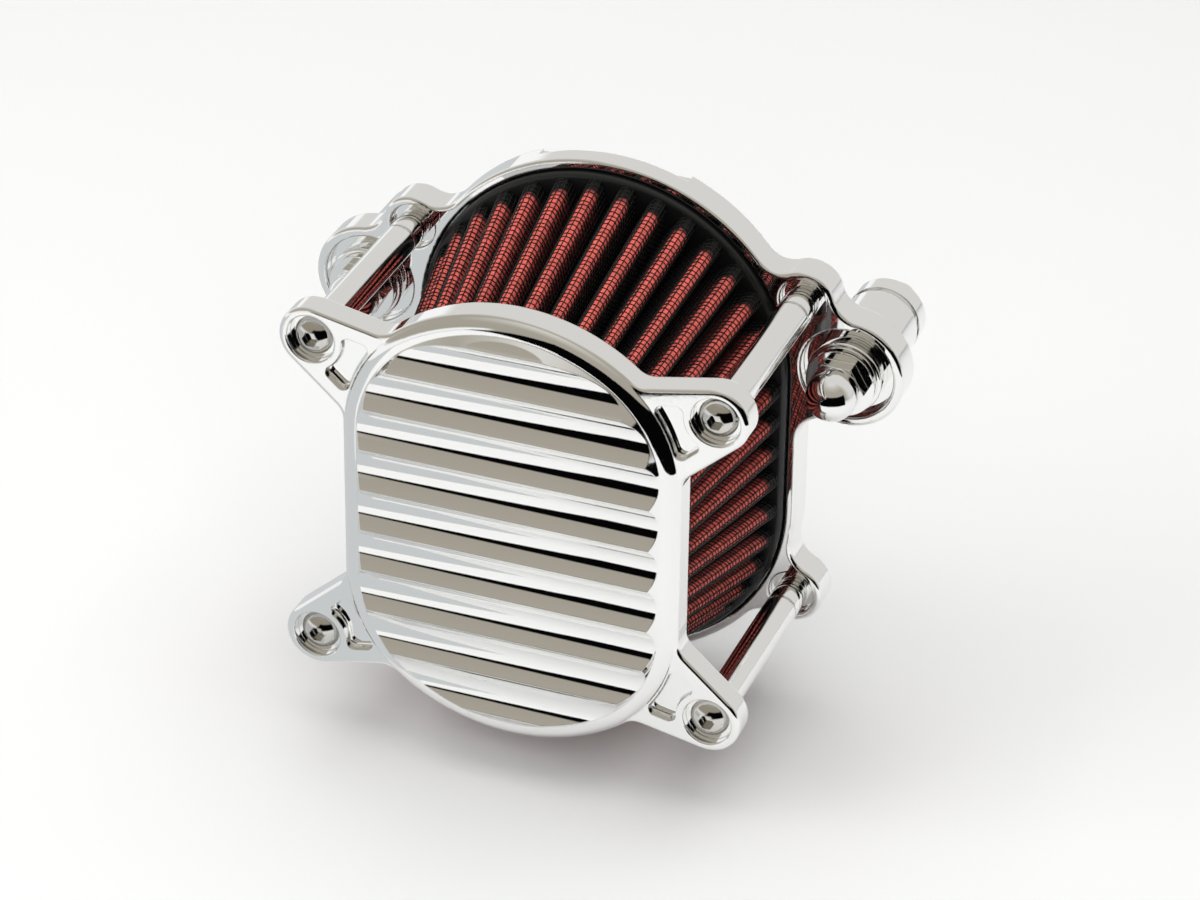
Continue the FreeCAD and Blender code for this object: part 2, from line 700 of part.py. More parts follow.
def post(name, across, up):
    """One post: a turned bar with a groove near its rear end and a tapped hole in each end."""
    x, z = f"{across} * Derived.post_x", f"{up} * Derived.post_z"
    bar = cylinder(name + "_bar", "Sizes.post_diameter / 2", "Sizes.post_length", x, "Derived.cover_rear", z)
    groove_y = "Derived.post_rear - Sizes.post_collar"
    groove = cut(name + "_groove",
                 cylinder(name + "_groove_outer", "Sizes.post_diameter", "Sizes.post_groove_width", x, groove_y, z),
                 cylinder(name + "_groove_core", "Sizes.post_diameter / 2 - Sizes.post_groove_depth",
                          "Sizes.post_groove_width", x, groove_y, z))
    depth = "Sizes.screw_reach + 2"
    front = cylinder(name + "_front_tap", "Derived.thread_radius", depth, x, "Derived.cover_rear", z)
    rear = cylinder(name + "_rear_tap", "Derived.thread_radius", depth, x,
                    "Derived.post_rear - Sizes.screw_reach - 2", z)
    return cut(name, bar, groove, front, rear)


def cap_screw(name, x, z):
    """A low socket screw from behind the back plate into a post, its head sunk in the plate."""
    head_y = "Derived.plate_rear - Sizes.seat_head_depth"
    head_height = "Sizes.seat_head_depth - 0.5"
    head = cylinder(name + "_head", "Sizes.head_diameter / 2 - 0.7", head_height, x, head_y, z)
    shank = cylinder(name + "_shank", "Sizes.screw_diameter / 2",
                     f"{head_y} + {head_height} / 2 - Derived.post_rear + Sizes.screw_reach", x,
                     "Derived.post_rear - Sizes.screw_reach", z)
    socket = hexagon(name + "_socket", "Sizes.socket_width", "Sizes.socket_depth", x,
                     f"{head_y} + {head_height} - Sizes.socket_depth + 0.5", z)
    return cut(name, fuse(name + "_solid", head, shank), socket)


def post_rear_screws():
    """Four low socket screws that hold the posts to the back plate."""
    return four_ways("post_rear_screws", cap_screw("post_rear_screw", "Derived.post_x", "Derived.post_z"))


def plate_neck(name, x, z, width):
    """A bar from the centre of the ring's upper arc to the centre of a lug or an ear, so that it always
    grows out of the ring."""
    body = new_body(name)
    sketch = flat_sketch(body, name + "_outline", "Derived.plate_rear")
    start = (0.0, now("Sizes.rear_reach"))
    end = (now(x), now(z))
    half = now(width) / 2
    length = math.hypot(end[0] - start[0], end[1] - start[1])
    side = (-(end[1] - start[1]) / length * half, (end[0] - start[0]) / length * half)
    corners = [(start[0] - side[0], start[1] - side[1]), (end[0] - side[0], end[1] - side[1]),
               (end[0] + side[0], end[1] + side[1]), (start[0] + side[0], start[1] + side[1])]
    sketch.addGeometry([line(*corners[i], *corners[(i + 1) % 4]) for i in range(4)], False)
    middle = sketch.addGeometry(line(*start, *end), True)
    for i in range(4):
        sketch.addConstraint(Sketcher.Constraint("Coincident", i, 2, (i + 1) % 4, 1))
    sketch.addConstraint(Sketcher.Constraint("PointOnObject", middle, 1, -2))
    tie(sketch, "DistanceY", -1, 1, middle, 1, expression="Sizes.rear_reach")
    tie(sketch, "DistanceX", -1, 1, middle, 2, expression=x)
    tie(sketch, "DistanceY", -1, 1, middle, 2, expression=z)
    sketch.addConstraint(Sketcher.Constraint("Symmetric", 0, 1, 2, 2, middle, 1))
    sketch.addConstraint(Sketcher.Constraint("Symmetric", 0, 2, 2, 1, middle, 2))
    sketch.addConstraint(Sketcher.Constraint("Perpendicular", 1, middle))
    tie(sketch, "Distance", 1, expression=width)
    pad = body.newObject("PartDesign::Pad", name + "_pad")
    pad.Profile = sketch
    pad.setExpression("Length", "Sizes.plate_thick")
    return body


def plate_web():
    """The triangle that fills the gap between the ring, an upper lug and the ear below it."""
    corners = (("0", "Sizes.rear_reach"), ("Derived.post_x", "Derived.post_z"), ("Derived.ear_x", "Sizes.ear_rise"))
    body = new_body("plate_web")
    sketch = flat_sketch(body, "plate_web_outline", "Derived.plate_rear")
    spots = [(now(across), now(up)) for across, up in corners]
    sketch.addGeometry([line(*spots[i], *spots[(i + 1) % 3]) for i in range(3)], False)
    for i in range(3):
        sketch.addConstraint(Sketcher.Constraint("Coincident", i, 2, (i + 1) % 3, 1))
    sketch.addConstraint(Sketcher.Constraint("PointOnObject", 0, 1, -2))
    tie(sketch, "DistanceY", -1, 1, 0, 1, expression=corners[0][1])
    for i in (1, 2):
        tie(sketch, "DistanceX", -1, 1, i, 1, expression=corners[i][0])
        tie(sketch, "DistanceY", -1, 1, i, 1, expression=corners[i][1])
    pad = body.newObject("PartDesign::Pad", "plate_web_pad")
    pad.Profile = sketch
    pad.setExpression("Length", "Sizes.plate_thick")
    return body


def plate_blend_now():
    """The radius of the plate's inner corners: where lug and ear stand apart, the straight edge between them
    has to hold the blends at both its ends."""
    free = (now("sqrt((Derived.ear_x - Derived.post_x) ^ 2 + (Derived.post_z - Sizes.ear_rise) ^ 2)")
            - now("Sizes.plate_lug_radius + Sizes.ear_radius"))
    wanted = now("Sizes.plate_blend")
    return min(wanted, 0.45 * free) if free > 0 else wanted


def back_plate():
    """The billet back plate: a stadium ring with a lip round the filter, four post lugs and two ears."""
    base = stadium_prism("plate_base", "Derived.plate_rear", "Sizes.plate_thick", "Derived.ring_radius",
                         "Sizes.rear_reach")
    lug_end = cylinder("plate_lug_end", "Sizes.plate_lug_radius", "Sizes.plate_thick", "Derived.post_x",
                       "Derived.plate_front", "Derived.post_z")
    lug = fuse("plate_lug", lug_end,
               plate_neck("plate_lug_neck", "Derived.post_x", "Derived.post_z", "Sizes.lug_neck_width"))
    ear = cylinder("plate_ear", "Sizes.ear_radius", "Sizes.plate_thick", "Derived.ear_x", "Derived.plate_front",
                   "Sizes.ear_rise")
    neck = plate_neck("plate_ear_neck", "Derived.ear_x", "Sizes.ear_rise", "Sizes.ear_neck_width")
    side = fuse("plate_side", ear, neck, plate_web())
    sides = fuse("plate_sides", side, mirror("plate_side_left", side, (1, 0, 0)))
    outline = fuse("plate_outline", base, four_ways("plate_lugs", lug), sides)
    soft = blended("plate_blended", outline, plate_blend_now())
    rim = edges_round("plate_rounded", soft, now("Sizes.ring_round"), now("Derived.plate_front"))
    tools = [
        stadium_prism("plate_recess", "Derived.recess_floor", "Sizes.recess_depth + 1", "Derived.recess_radius",
                      "Sizes.rear_reach"),
        cylinder("plate_intake", "Derived.spigot_radius + Sizes.hole_clearance", "Sizes.plate_thick", "0",
                 "Derived.plate_front + 1", "0"),
        block("plate_relief", "2 * Sizes.relief_half_width", "Sizes.relief_depth + 1", "Sizes.relief_height + 10",
              "-Sizes.relief_half_width", "Derived.plate_rear - Sizes.relief_depth",
              "Derived.ring_radius + Sizes.rear_reach - Sizes.relief_height"),
    ]
    seat = cylinder("plate_seat", "Sizes.seat_radius", "Sizes.seat_depth + 1", "Derived.post_x",
                    "Derived.plate_front - 1", "Derived.post_z")
    hole = cylinder("plate_post_hole", "Derived.hole_radius", "Sizes.plate_thick", "Derived.post_x",
                    "Derived.plate_front + 1", "Derived.post_z")
    sunk = cylinder("plate_head_bore", "Sizes.head_diameter / 2 - 0.5", "Sizes.seat_head_depth + 1", "Derived.post_x",
                    "Derived.plate_rear - Sizes.seat_head_depth", "Derived.post_z")
    tools.append(four_ways("plate_post_tools", fuse("plate_post_tool", seat, hole, sunk)))
    ear_recess = cylinder("ear_recess", "Sizes.ear_recess_radius", "Sizes.ear_recess_depth + 1", "Derived.ear_x",
                          "Derived.plate_front - 1", "Sizes.ear_rise")
    ear_hole = cylinder("ear_hole", "Sizes.bolt_hole / 2", "2 * Sizes.plate_thick", "Derived.ear_x",
                        "Derived.plate_front - 1", "Sizes.ear_rise")
    gallery_y = "(Derived.recess_floor + Derived.plate_rear) / 2"
    gallery = doc.addObject("Part::Cylinder", "gallery")
    gallery.Placement.Rotation = FreeCAD.Rotation(FreeCAD.Vector(0, 1, 0), 90)
    outlet_x = "Derived.rear_cap_bore - Sizes.gallery_diameter"
    bind(gallery, Radius="Sizes.gallery_diameter / 2", Height=f"Derived.ear_x - ({outlet_x})")
    put(gallery, outlet_x, gallery_y, "Sizes.ear_rise")
    outlet = cylinder("gallery_outlet", "Sizes.gallery_diameter / 2", "Sizes.plate_thick / 2", outlet_x,
                      f"{gallery_y} - Sizes.plate_thick / 2", "Sizes.ear_rise")
    ear_tool = fuse("ear_tool", ear_recess, ear_hole, gallery, outlet)
    tools += [ear_tool, mirror("ear_tool_left", ear_tool, (1, 0, 0))]
    for step, (x, z) in enumerate(throttle_places()):
        tools.append(cylinder(f"plate_throttle_hole_{step}", "Derived.hole_radius", "Sizes.plate_thick", x,
                              "Derived.plate_front + 1", z))
    sharp = cut("plate_sharp", rim, *tools)
    inner = [now("Derived.recess_radius"), now("Sizes.seat_radius"), now("Sizes.ear_recess_radius")]

    def opening_edge(edge):
        """Whether an edge is a mouth of the recess, a post seat or an ear recess."""
        if not at_y(edge, now("Derived.plate_front")):
            return False
        if isinstance(edge.Curve, (Part.Line, Part.LineSegment)):
            return abs(abs(edge.CenterOfMass.x) - now("Derived.recess_radius")) < 1e-3
        return isinstance(edge.Curve, Part.Circle) and any(abs(edge.Curve.Radius - radius) < 1e-3 for radius in inner)

    return rounded("back_plate", sharp, now("Sizes.mouth_round"), opening_edge)


def throttle_places():
    """Where the three throttle screws stand, as pairs of expressions for X and Z."""
    return [(f"Derived.throttle_radius * cos({turn})", f"Derived.throttle_radius * sin({turn})")
            for turn in (90, 210, 330)]


def filter_cap(name, y, thick, radius, bore, reach, face):
    """A moulded end cap of the filter, the outer edge of its exposed face rounded."""
    flat = stadium_ring(name + "_flat", y, thick, radius, bore, reach)

    def outer_edge(edge):
        """Whether an edge lies on the exposed face's outer outline."""
        mid = edge.valueAt((edge.FirstParameter + edge.LastParameter) / 2)
        over = max(abs(mid.z) - now(reach), 0.0)
        return at_y(edge, now(face)) and abs(math.hypot(mid.x, over) - now(radius)) < 0.05

    return rounded(name, flat, now("Sizes.cap_round"), outer_edge)


def filter_front_cap():
    """The moulded end cap behind the cover."""
    return filter_cap("filter_front_cap", "Derived.front_cap_rear", "Sizes.front_cap_thick",
                      "Sizes.front_radius + Sizes.cap_lip", "Derived.front_cap_bore", "Sizes.front_reach",
                      "Derived.front_cap_rear")


def filter_rear_cap():
    """The moulded end cap that seals in the back plate's recess."""
    return filter_cap("filter_rear_cap", "Derived.recess_floor", "Sizes.rear_cap_thick",
                      "Derived.rear_radius + Sizes.cap_lip", "Derived.rear_cap_bore", "Sizes.rear_reach",
                      "Derived.rear_cap_front")


def filter_walls():
    """The pleated pack as three layers: outer wire screen, cotton media, inner wire screen."""
    screen, depth, gap = "Sizes.screen_thick", "Sizes.pleat_depth", "Sizes.screen_gap"
    return {
        "filter_outer_screen": tapered_tube("outer_screen", "0", screen),
        "filter_media": tapered_tube("media", f"{screen} + {gap}", f"{depth} - {screen} - {gap}"),
        "filter_inner_screen": tapered_tube("inner_screen", f"{depth} - {screen}", depth),
    }


def seal_groove(name, y, x, z):
    """The ring-shaped groove that holds an O-ring, from y backwards."""
    half = "Sizes.seal_section / 2 + Sizes.seal_side_gap"
    return cut(name,
               cylinder(name + "_outer", f"Sizes.seal_ring_radius + {half}", "Sizes.seal_section", x, y, z),
               cylinder(name + "_core", f"Sizes.seal_ring_radius - ({half})", "Sizes.seal_section", x, y, z))


def breather(side, across):
    """One breather bolt with its collar, spacer and three O-rings."""
    x, z = f"{across} * Derived.ear_x", "Sizes.ear_rise"
    flange_y = "Derived.flange_front"
    hex_y = "Derived.flange_front - Sizes.hex_height"
    dome_y = "Derived.flange_front - Sizes.hex_height - Sizes.dome_neck"
    tag = f"breather_{side}_"
    dome = put(bind(doc.addObject("Part::Sphere", tag + "dome"), Radius="Sizes.dome_radius"), x, dome_y, z)
    solid = fuse(
        tag + "bolt_solid", dome,
        cylinder(tag + "dome_neck", "Sizes.dome_radius", "Sizes.dome_neck", x, dome_y, z),
        hexagon(tag + "hex", "Sizes.hex_width", "Sizes.hex_height", x, hex_y, z),
        cylinder(tag + "flange", "Sizes.flange_radius", "Sizes.flange_thick", x, flange_y, z),
        cylinder(tag + "neck", "Sizes.bolt_neck_diameter / 2", "Derived.spacer_rear - Derived.flange_front", x,
                 flange_y, z),
        cylinder(tag + "thread", "Sizes.bolt_diameter / 2", "Sizes.bolt_reach", x, "Derived.spacer_rear", z))
    bore = cylinder(tag + "bore", "Sizes.bolt_bore / 2", "2 * Sizes.spacer_length", x, "Derived.plate_front", z)
    cross = doc.addObject("Part::Cylinder", tag + "cross_hole")
    cross.Placement.Rotation = FreeCAD.Rotation(FreeCAD.Vector(0, 1, 0), 90)
    bind(cross, Radius="Sizes.cross_hole / 2", Height="2 * Sizes.bolt_diameter")
    put(cross, f"{x} - Sizes.bolt_diameter", "(Derived.recess_floor + Derived.plate_rear) / 2", z)
    bolt_bore = "Sizes.bolt_diameter / 2 + Sizes.fit_gap"
    collar = cut(tag + "collar_cut",
                 cylinder(tag + "collar_blank", "Sizes.collar_radius", "Sizes.collar_height", x,
                          "Derived.flange_front + Sizes.flange_thick", z),
                 cylinder(tag + "collar_bore", bolt_bore, "3 * Sizes.collar_height", x,
                          "Derived.flange_front - Sizes.collar_height", z),
                 seal_groove(tag + "collar_groove", "Derived.ear_floor - Sizes.seal_section", x, z))
    spacer = cylinder(tag + "spacer_blank", "Sizes.spacer_radius", "Sizes.spacer_length", x, "Derived.plate_rear", z)
    groove_y = "Derived.spacer_rear - Sizes.spacer_groove_offset - Sizes.spacer_groove_width"
    groove = cut(tag + "spacer_groove",
                 cylinder(tag + "groove_outer", "Sizes.spacer_radius + 1", "Sizes.spacer_groove_width", x, groove_y, z),
                 cylinder(tag + "groove_core", "Sizes.spacer_radius - Sizes.spacer_groove_depth",
                          "Sizes.spacer_groove_width", x, groove_y, z))
    spacer_cut = cut(tag + "spacer_cut", spacer, groove,
                     cylinder(tag + "spacer_bore", bolt_bore, "2 * Sizes.spacer_length", x, "Derived.plate_rear - 5", z),
                     seal_groove(tag + "spacer_front_groove", "Derived.plate_rear", x, z),
                     seal_groove(tag + "spacer_rear_groove", "Derived.spacer_rear - Sizes.seal_section", x, z))
    outer = now("Sizes.spacer_radius")
    ends = (now("Derived.plate_rear"), now("Derived.spacer_rear"))
    collar_face = now("Derived.flange_front") + now("Sizes.flange_thick")

    def whole_ring(edge, radius):
        """Whether an edge is a full circle of a radius."""
        return isinstance(edge.Curve, Part.Circle) and abs(edge.Curve.Radius - radius) < 1e-3

    seals = {
        "collar_o_ring": "Derived.ear_floor - Sizes.seal_section / 2",
        "plate_o_ring": "Derived.plate_rear + Sizes.seal_section / 2",
        "head_o_ring": "Derived.spacer_rear - Sizes.seal_section / 2",
    }
    made = {
        f"breather_bolt_{side}": cut(tag + "bolt", solid, bore, cross),
        f"breather_collar_{side}": rounded(
            tag + "collar", collar, now("Sizes.spacer_round"),
            lambda edge: at_y(edge, collar_face) and whole_ring(edge, now("Sizes.collar_radius"))),
        f"breather_spacer_{side}": rounded(
            tag + "spacer", spacer_cut, now("Sizes.spacer_round"),
            lambda edge: any(at_y(edge, y) for y in ends) and whole_ring(edge, outer)),
    }
    for name, y in seals.items():
        made[f"breather_{name}_{side}"] = ring(tag + name, "Sizes.seal_ring_radius", "Sizes.seal_section / 2",
                                               x, y, z)
    return made


def intake_adapter():
    """The ring between back plate and throttle body: a flange, a spigot through the plate, a flared bore."""
    flange = cylinder("adapter_flange", "Derived.adapter_radius", "Sizes.adapter_thick", "0", "Derived.plate_rear", "0")
    spigot = cylinder("adapter_spigot", "Derived.spigot_radius", "Sizes.plate_thick - Sizes.recess_depth + 1", "0",
                      "Derived.recess_floor", "0")
    bore = cylinder("adapter_bore", "Sizes.bore_diameter / 2", "3 * Sizes.adapter_thick", "0",
                    "Derived.recess_floor - 1", "0")
    flare = cone("adapter_flare", "Sizes.bore_diameter / 2 + Sizes.inlet_flare", "Sizes.bore_diameter / 2",
                 "2 * Sizes.inlet_flare", "0", "Derived.recess_floor", "0")
    half = "Sizes.adapter_seal_section / 2 + Sizes.seal_side_gap / 2"
    groove = cut("adapter_groove",
                 cylinder("adapter_groove_outer", f"Derived.adapter_seal_radius + {half}",
                          "Sizes.adapter_seal_section", "0", "Derived.plate_rear", "0"),
                 cylinder("adapter_groove_core", f"Derived.adapter_seal_radius - ({half})",
                          "Sizes.adapter_seal_section", "0", "Derived.plate_rear", "0"))
    holes = [cylinder(f"adapter_hole_{step}", "Derived.hole_radius", "3 * Sizes.adapter_thick", x,
                      "Derived.plate_rear - Sizes.adapter_thick", z)
             for step, (x, z) in enumerate(throttle_places())]
    return cut("intake_adapter", fuse("adapter_solid", flange, spigot), bore, flare, groove, *holes)


def throttle_gasket():
    """The flat gasket that meets the throttle body."""
    disc = cylinder("gasket_disc", "Derived.adapter_radius", "Sizes.gasket_thick", "0", "Derived.gasket_front", "0")
    holes = [cylinder(f"gasket_hole_{step}", "Derived.hole_radius", "3 * Sizes.gasket_thick", x,
                      "Derived.gasket_front - Sizes.gasket_thick", z)
             for step, (x, z) in enumerate(throttle_places())]
    bore = cylinder("gasket_bore", "Sizes.bore_diameter / 2", "3 * Sizes.gasket_thick", "0",
                    "Derived.gasket_front - Sizes.gasket_thick", "0")
    return cut("throttle_gasket", disc, bore, *holes)


def throttle_screws():
    """Three screws through plate, adapter and gasket into the throttle body."""
    neck = "-Derived.recess_floor"
    screws = [button_screw(f"throttle_screw_{step}", "Derived.recess_floor", neck,
                           "Sizes.throttle_reach - Derived.recess_floor", x, z)
              for step, (x, z) in enumerate(throttle_places())]
    return fuse("throttle_screws", *screws)


def build():
    """Every sub-part by its name."""
    parts = {"front_cover": front_cover(), "cover_screws": cover_screws()}
    for up_name, up in (("upper", 1), ("lower", -1)):
        for side, across in (("left", -1), ("right", 1)):
            name = f"post_{up_name}_{side}"
            parts[name] = post(name, across, up)
    parts["post_rear_screws"] = post_rear_screws()
    parts["filter_front_cap"] = filter_front_cap()
    parts["filter_rear_cap"] = filter_rear_cap()
    parts.update(filter_walls())
    parts["back_plate"] = back_plate()
    for side, across in (("left", -1), ("right", 1)):
        parts.update(breather(side, across))
    parts["intake_adapter"] = intake_adapter()
    parts["adapter_o_ring"] = ring("adapter_o_ring", "Derived.adapter_seal_radius", "Sizes.adapter_seal_section / 2",
                                   "0", "Derived.plate_rear + Sizes.adapter_seal_section / 2", "0")
    parts["throttle_gasket"] = throttle_gasket()
    parts["throttle_screws"] = throttle_screws()
    return parts


def check(parts):
    """Stop unless every object computed and every sub-part is a sound solid."""
    for item in doc.Objects:
        if "Invalid" in item.State or "Error" in item.State:
            raise RuntimeError(f"{item.Name} failed: {item.State}")
    for name, item in parts.items():
        shape = item.Shape
        if shape.isNull() or not shape.isValid() or not shape.Solids:
            raise RuntimeError(name + " has no sound solid")
        box = shape.BoundBox
        print(f"{name:28s} solids {len(shape.Solids)} volume {shape.Volume:10.1f}"
              f" y {box.YMin:7.2f} {box.YMax:7.2f} x {box.XMin:7.2f} {box.XMax:7.2f} z {box.ZMin:7.2f} {box.ZMax:7.2f}")


def write(parts):
    """One STEP file for each sub-part, named for it."""
    os.makedirs("parts", exist_ok=True)
    for name, item in parts.items():
        item.Label = name
        item.Shape.exportStep(f"parts/{name}.step")


all_parts = build()
doc.recompute()
check(all_parts)
write(all_parts)
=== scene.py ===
"""Air cleaner for a V-twin motorcycle: finishes, the pleated filter element and a small studio.

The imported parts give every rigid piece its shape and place. This script dresses them, models the pleated
cotton media and its folded wire screens, and sets the light, the floor and the camera. Metres, +Z up, the
finned cover towards -Y."""

import logging
import math
from abc import ABC, abstractmethod
from dataclasses import dataclass, field
from enum import Enum
from typing import Any

import bpy
from mathutils import Matrix, Vector


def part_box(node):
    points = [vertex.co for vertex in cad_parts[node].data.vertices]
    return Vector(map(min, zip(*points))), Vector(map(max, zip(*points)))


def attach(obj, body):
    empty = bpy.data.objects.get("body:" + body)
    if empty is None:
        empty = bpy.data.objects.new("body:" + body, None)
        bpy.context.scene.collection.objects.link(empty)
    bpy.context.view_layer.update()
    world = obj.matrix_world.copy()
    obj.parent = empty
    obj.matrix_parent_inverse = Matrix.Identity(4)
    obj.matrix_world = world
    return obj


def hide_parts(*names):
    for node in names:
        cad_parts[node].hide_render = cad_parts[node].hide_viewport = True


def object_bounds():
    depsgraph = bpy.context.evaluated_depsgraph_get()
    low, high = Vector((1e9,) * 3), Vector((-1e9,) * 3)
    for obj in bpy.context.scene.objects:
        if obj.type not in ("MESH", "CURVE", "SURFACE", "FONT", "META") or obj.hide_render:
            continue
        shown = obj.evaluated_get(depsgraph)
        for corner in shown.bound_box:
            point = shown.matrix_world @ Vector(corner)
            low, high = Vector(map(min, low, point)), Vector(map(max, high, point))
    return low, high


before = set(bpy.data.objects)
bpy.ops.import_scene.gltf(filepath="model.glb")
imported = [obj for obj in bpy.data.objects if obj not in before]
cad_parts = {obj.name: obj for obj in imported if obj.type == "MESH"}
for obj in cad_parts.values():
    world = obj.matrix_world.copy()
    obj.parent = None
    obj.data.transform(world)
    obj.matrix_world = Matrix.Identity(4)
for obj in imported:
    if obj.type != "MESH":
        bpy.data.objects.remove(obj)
cad_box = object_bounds()

LOG = logging.getLogger("air_cleaner")
MM = 0.001
ROOT = "root"


class Side(Enum):
    """Which face of the folded media a wire screen lies on."""

    OUTSIDE = 1
    INSIDE = -1


def linear(colour: str) -> tuple[float, float, float, float]:
    """Turn an sRGB hex colour into a linear one.

    Args:
        colour: The colour as "#RRGGBB".

    Returns:
        Linear red, green, blue and an alpha of 1.
    """
    parts = [int(colour[i:i + 2], 16) / 255 for i in (1, 3, 5)]
    turned = [c / 12.92 if c <= 0.04045 else ((c + 0.055) / 1.055) ** 2.4 for c in parts]
    return (turned[0], turned[1], turned[2], 1.0)


def add_node(tree: bpy.types.NodeTree, kind: str, inputs: dict[Any, Any] | None = None,
             **settings: Any) -> bpy.types.Node:
    """Add a node with its settings and links.

    Args:
        tree: The node tree that the node joins.
        kind: Blender's name for the node.
        inputs: A value, or another node's output socket to link, for each named or numbered input.
        settings: Properties of the node. stops gives a colour ramp its places and colours.

    Returns:
        The new node.
    """
    node = tree.nodes.new(kind)
    stops = settings.pop("stops", None)
    for name, value in settings.items():
        setattr(node, name, value)
    if stops:
        ramp = node.color_ramp.elements
        while len(ramp) < len(stops):
            ramp.new(0.5)
        for element, (place, colour) in zip(ramp, stops):
            element.position = place
            element.color = colour
    for name, value in (inputs or {}).items():
        socket = node.inputs[name]
        if isinstance(value, bpy.types.NodeSocket):
            tree.links.new(value, socket)
        else:
            socket.default_value = value
    return node


@dataclass(frozen=True)
class Finish(ABC):
    """What a surface is made of and how it was made: one material, shared by the pieces that have it."""

    name: str

    def material(self) -> bpy.types.Material:
        """The finish's material, made the first time it is asked for.

        Returns:
            The material.
        """
        known = bpy.data.materials.get(self.name)
        if known:
            return known
        made = bpy.data.materials.new(self.name)
        made.use_nodes = True
        made.node_tree.nodes.clear()
        tree = made.node_tree
        surface = self.surface(tree)
        add_node(tree, "ShaderNodeOutputMaterial", {"Surface": surface.outputs[0]})
        return made

    @abstractmethod
    def surface(self, tree: bpy.types.NodeTree) -> bpy.types.Node:
        """The shader node of the finish.

        Args:
            tree: The material's node tree.

        Returns:
            The shader node.
        """

    def dress(self, *objects: bpy.types.Object) -> None:
        """Give the finish to whole objects.

        Args:
            objects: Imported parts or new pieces.
        """
        made = self.material()
        for item in objects:
            if not item.material_slots:
                item.data.materials.append(made)
            for slot in item.material_slots:
                slot.material = made


@dataclass(frozen=True)
class PolishedChrome(Finish):
    """Chrome plate over buffed billet: a mirror whose only flaws are the buffing wheel's faint ripple and
    hairlines, which bend the edges of what it reflects."""

    colour: str = "#F3F3F2"
    ripple_mm: float = 9.0
    ripple_height_mm: float = 0.01
    hairline_mm: float = 1.5
    haze: float = 0.03
    edge_round_mm: float = 0.45

    def surface(self, tree: bpy.types.NodeTree) -> bpy.types.Node:
        """A metal with a slow ripple, a little haze that comes and goes, and edges rolled over by the buff.

        Args:
            tree: The material's node tree.

        Returns:
            The shader node.
        """
        place = add_node(tree, "ShaderNodeTexCoord").outputs["Object"]
        rolled = add_node(tree, "ShaderNodeBevel", {"Radius": self.edge_round_mm * MM}, samples=4)
        ripple = add_node(tree, "ShaderNodeTexNoise", {"Vector": place, "Scale": 1 / (self.ripple_mm * MM),
                                                       "Detail": 1.0, "Roughness": 0.4})
        bump = add_node(tree, "ShaderNodeBump", {"Height": ripple.outputs["Fac"], "Strength": 1.0,
                                                 "Distance": self.ripple_height_mm * MM,
                                                 "Normal": rolled.outputs["Normal"]})
        hairlines = add_node(tree, "ShaderNodeTexNoise", {"Vector": place, "Scale": 1 / (self.hairline_mm * MM),
                                                          "Detail": 6.0})
        rough = add_node(tree, "ShaderNodeMapRange", {"Value": hairlines.outputs["Fac"], "From Min": 0.35,
                                                      "From Max": 0.75, "To Min": self.haze * 0.6,
                                                      "To Max": self.haze * 1.8})
        return add_node(tree, "ShaderNodeBsdfPrincipled", {
            "Base Color": linear(self.colour), "Metallic": 1.0, "Roughness": rough.outputs["Result"],
            "Normal": bump.outputs["Normal"]})


@dataclass(frozen=True)
class PlatedSteel(Finish):
    """Bright zinc plate over turned steel: greyer than chrome, with fine turning marks."""

    colour: str = "#B9BABC"
    grain_mm: float = 0.15
    grain_height_mm: float = 0.01

    def surface(self, tree: bpy.types.NodeTree) -> bpy.types.Node:
        """A satin metal with a grain as fine as a turning tool's feed, 0.15 mm.

        Args:
            tree: The material's node tree.

        Returns:
            The shader node.
        """
        place = add_node(tree, "ShaderNodeTexCoord").outputs["Object"]
        grain = add_node(tree, "ShaderNodeTexNoise", {"Vector": place, "Scale": 1 / (self.grain_mm * MM),
                                                      "Detail": 3.0})
        bump = add_node(tree, "ShaderNodeBump", {"Height": grain.outputs["Fac"], "Strength": 0.3,
                                                 "Distance": self.grain_height_mm * MM})
        rough = add_node(tree, "ShaderNodeMapRange", {"Value": grain.outputs["Fac"], "To Min": 0.22, "To Max": 0.38})
        return add_node(tree, "ShaderNodeBsdfPrincipled", {
            "Base Color": linear(self.colour), "Metallic": 1.0, "Roughness": rough.outputs["Result"],
            "Normal": bump.outputs["Normal"]})


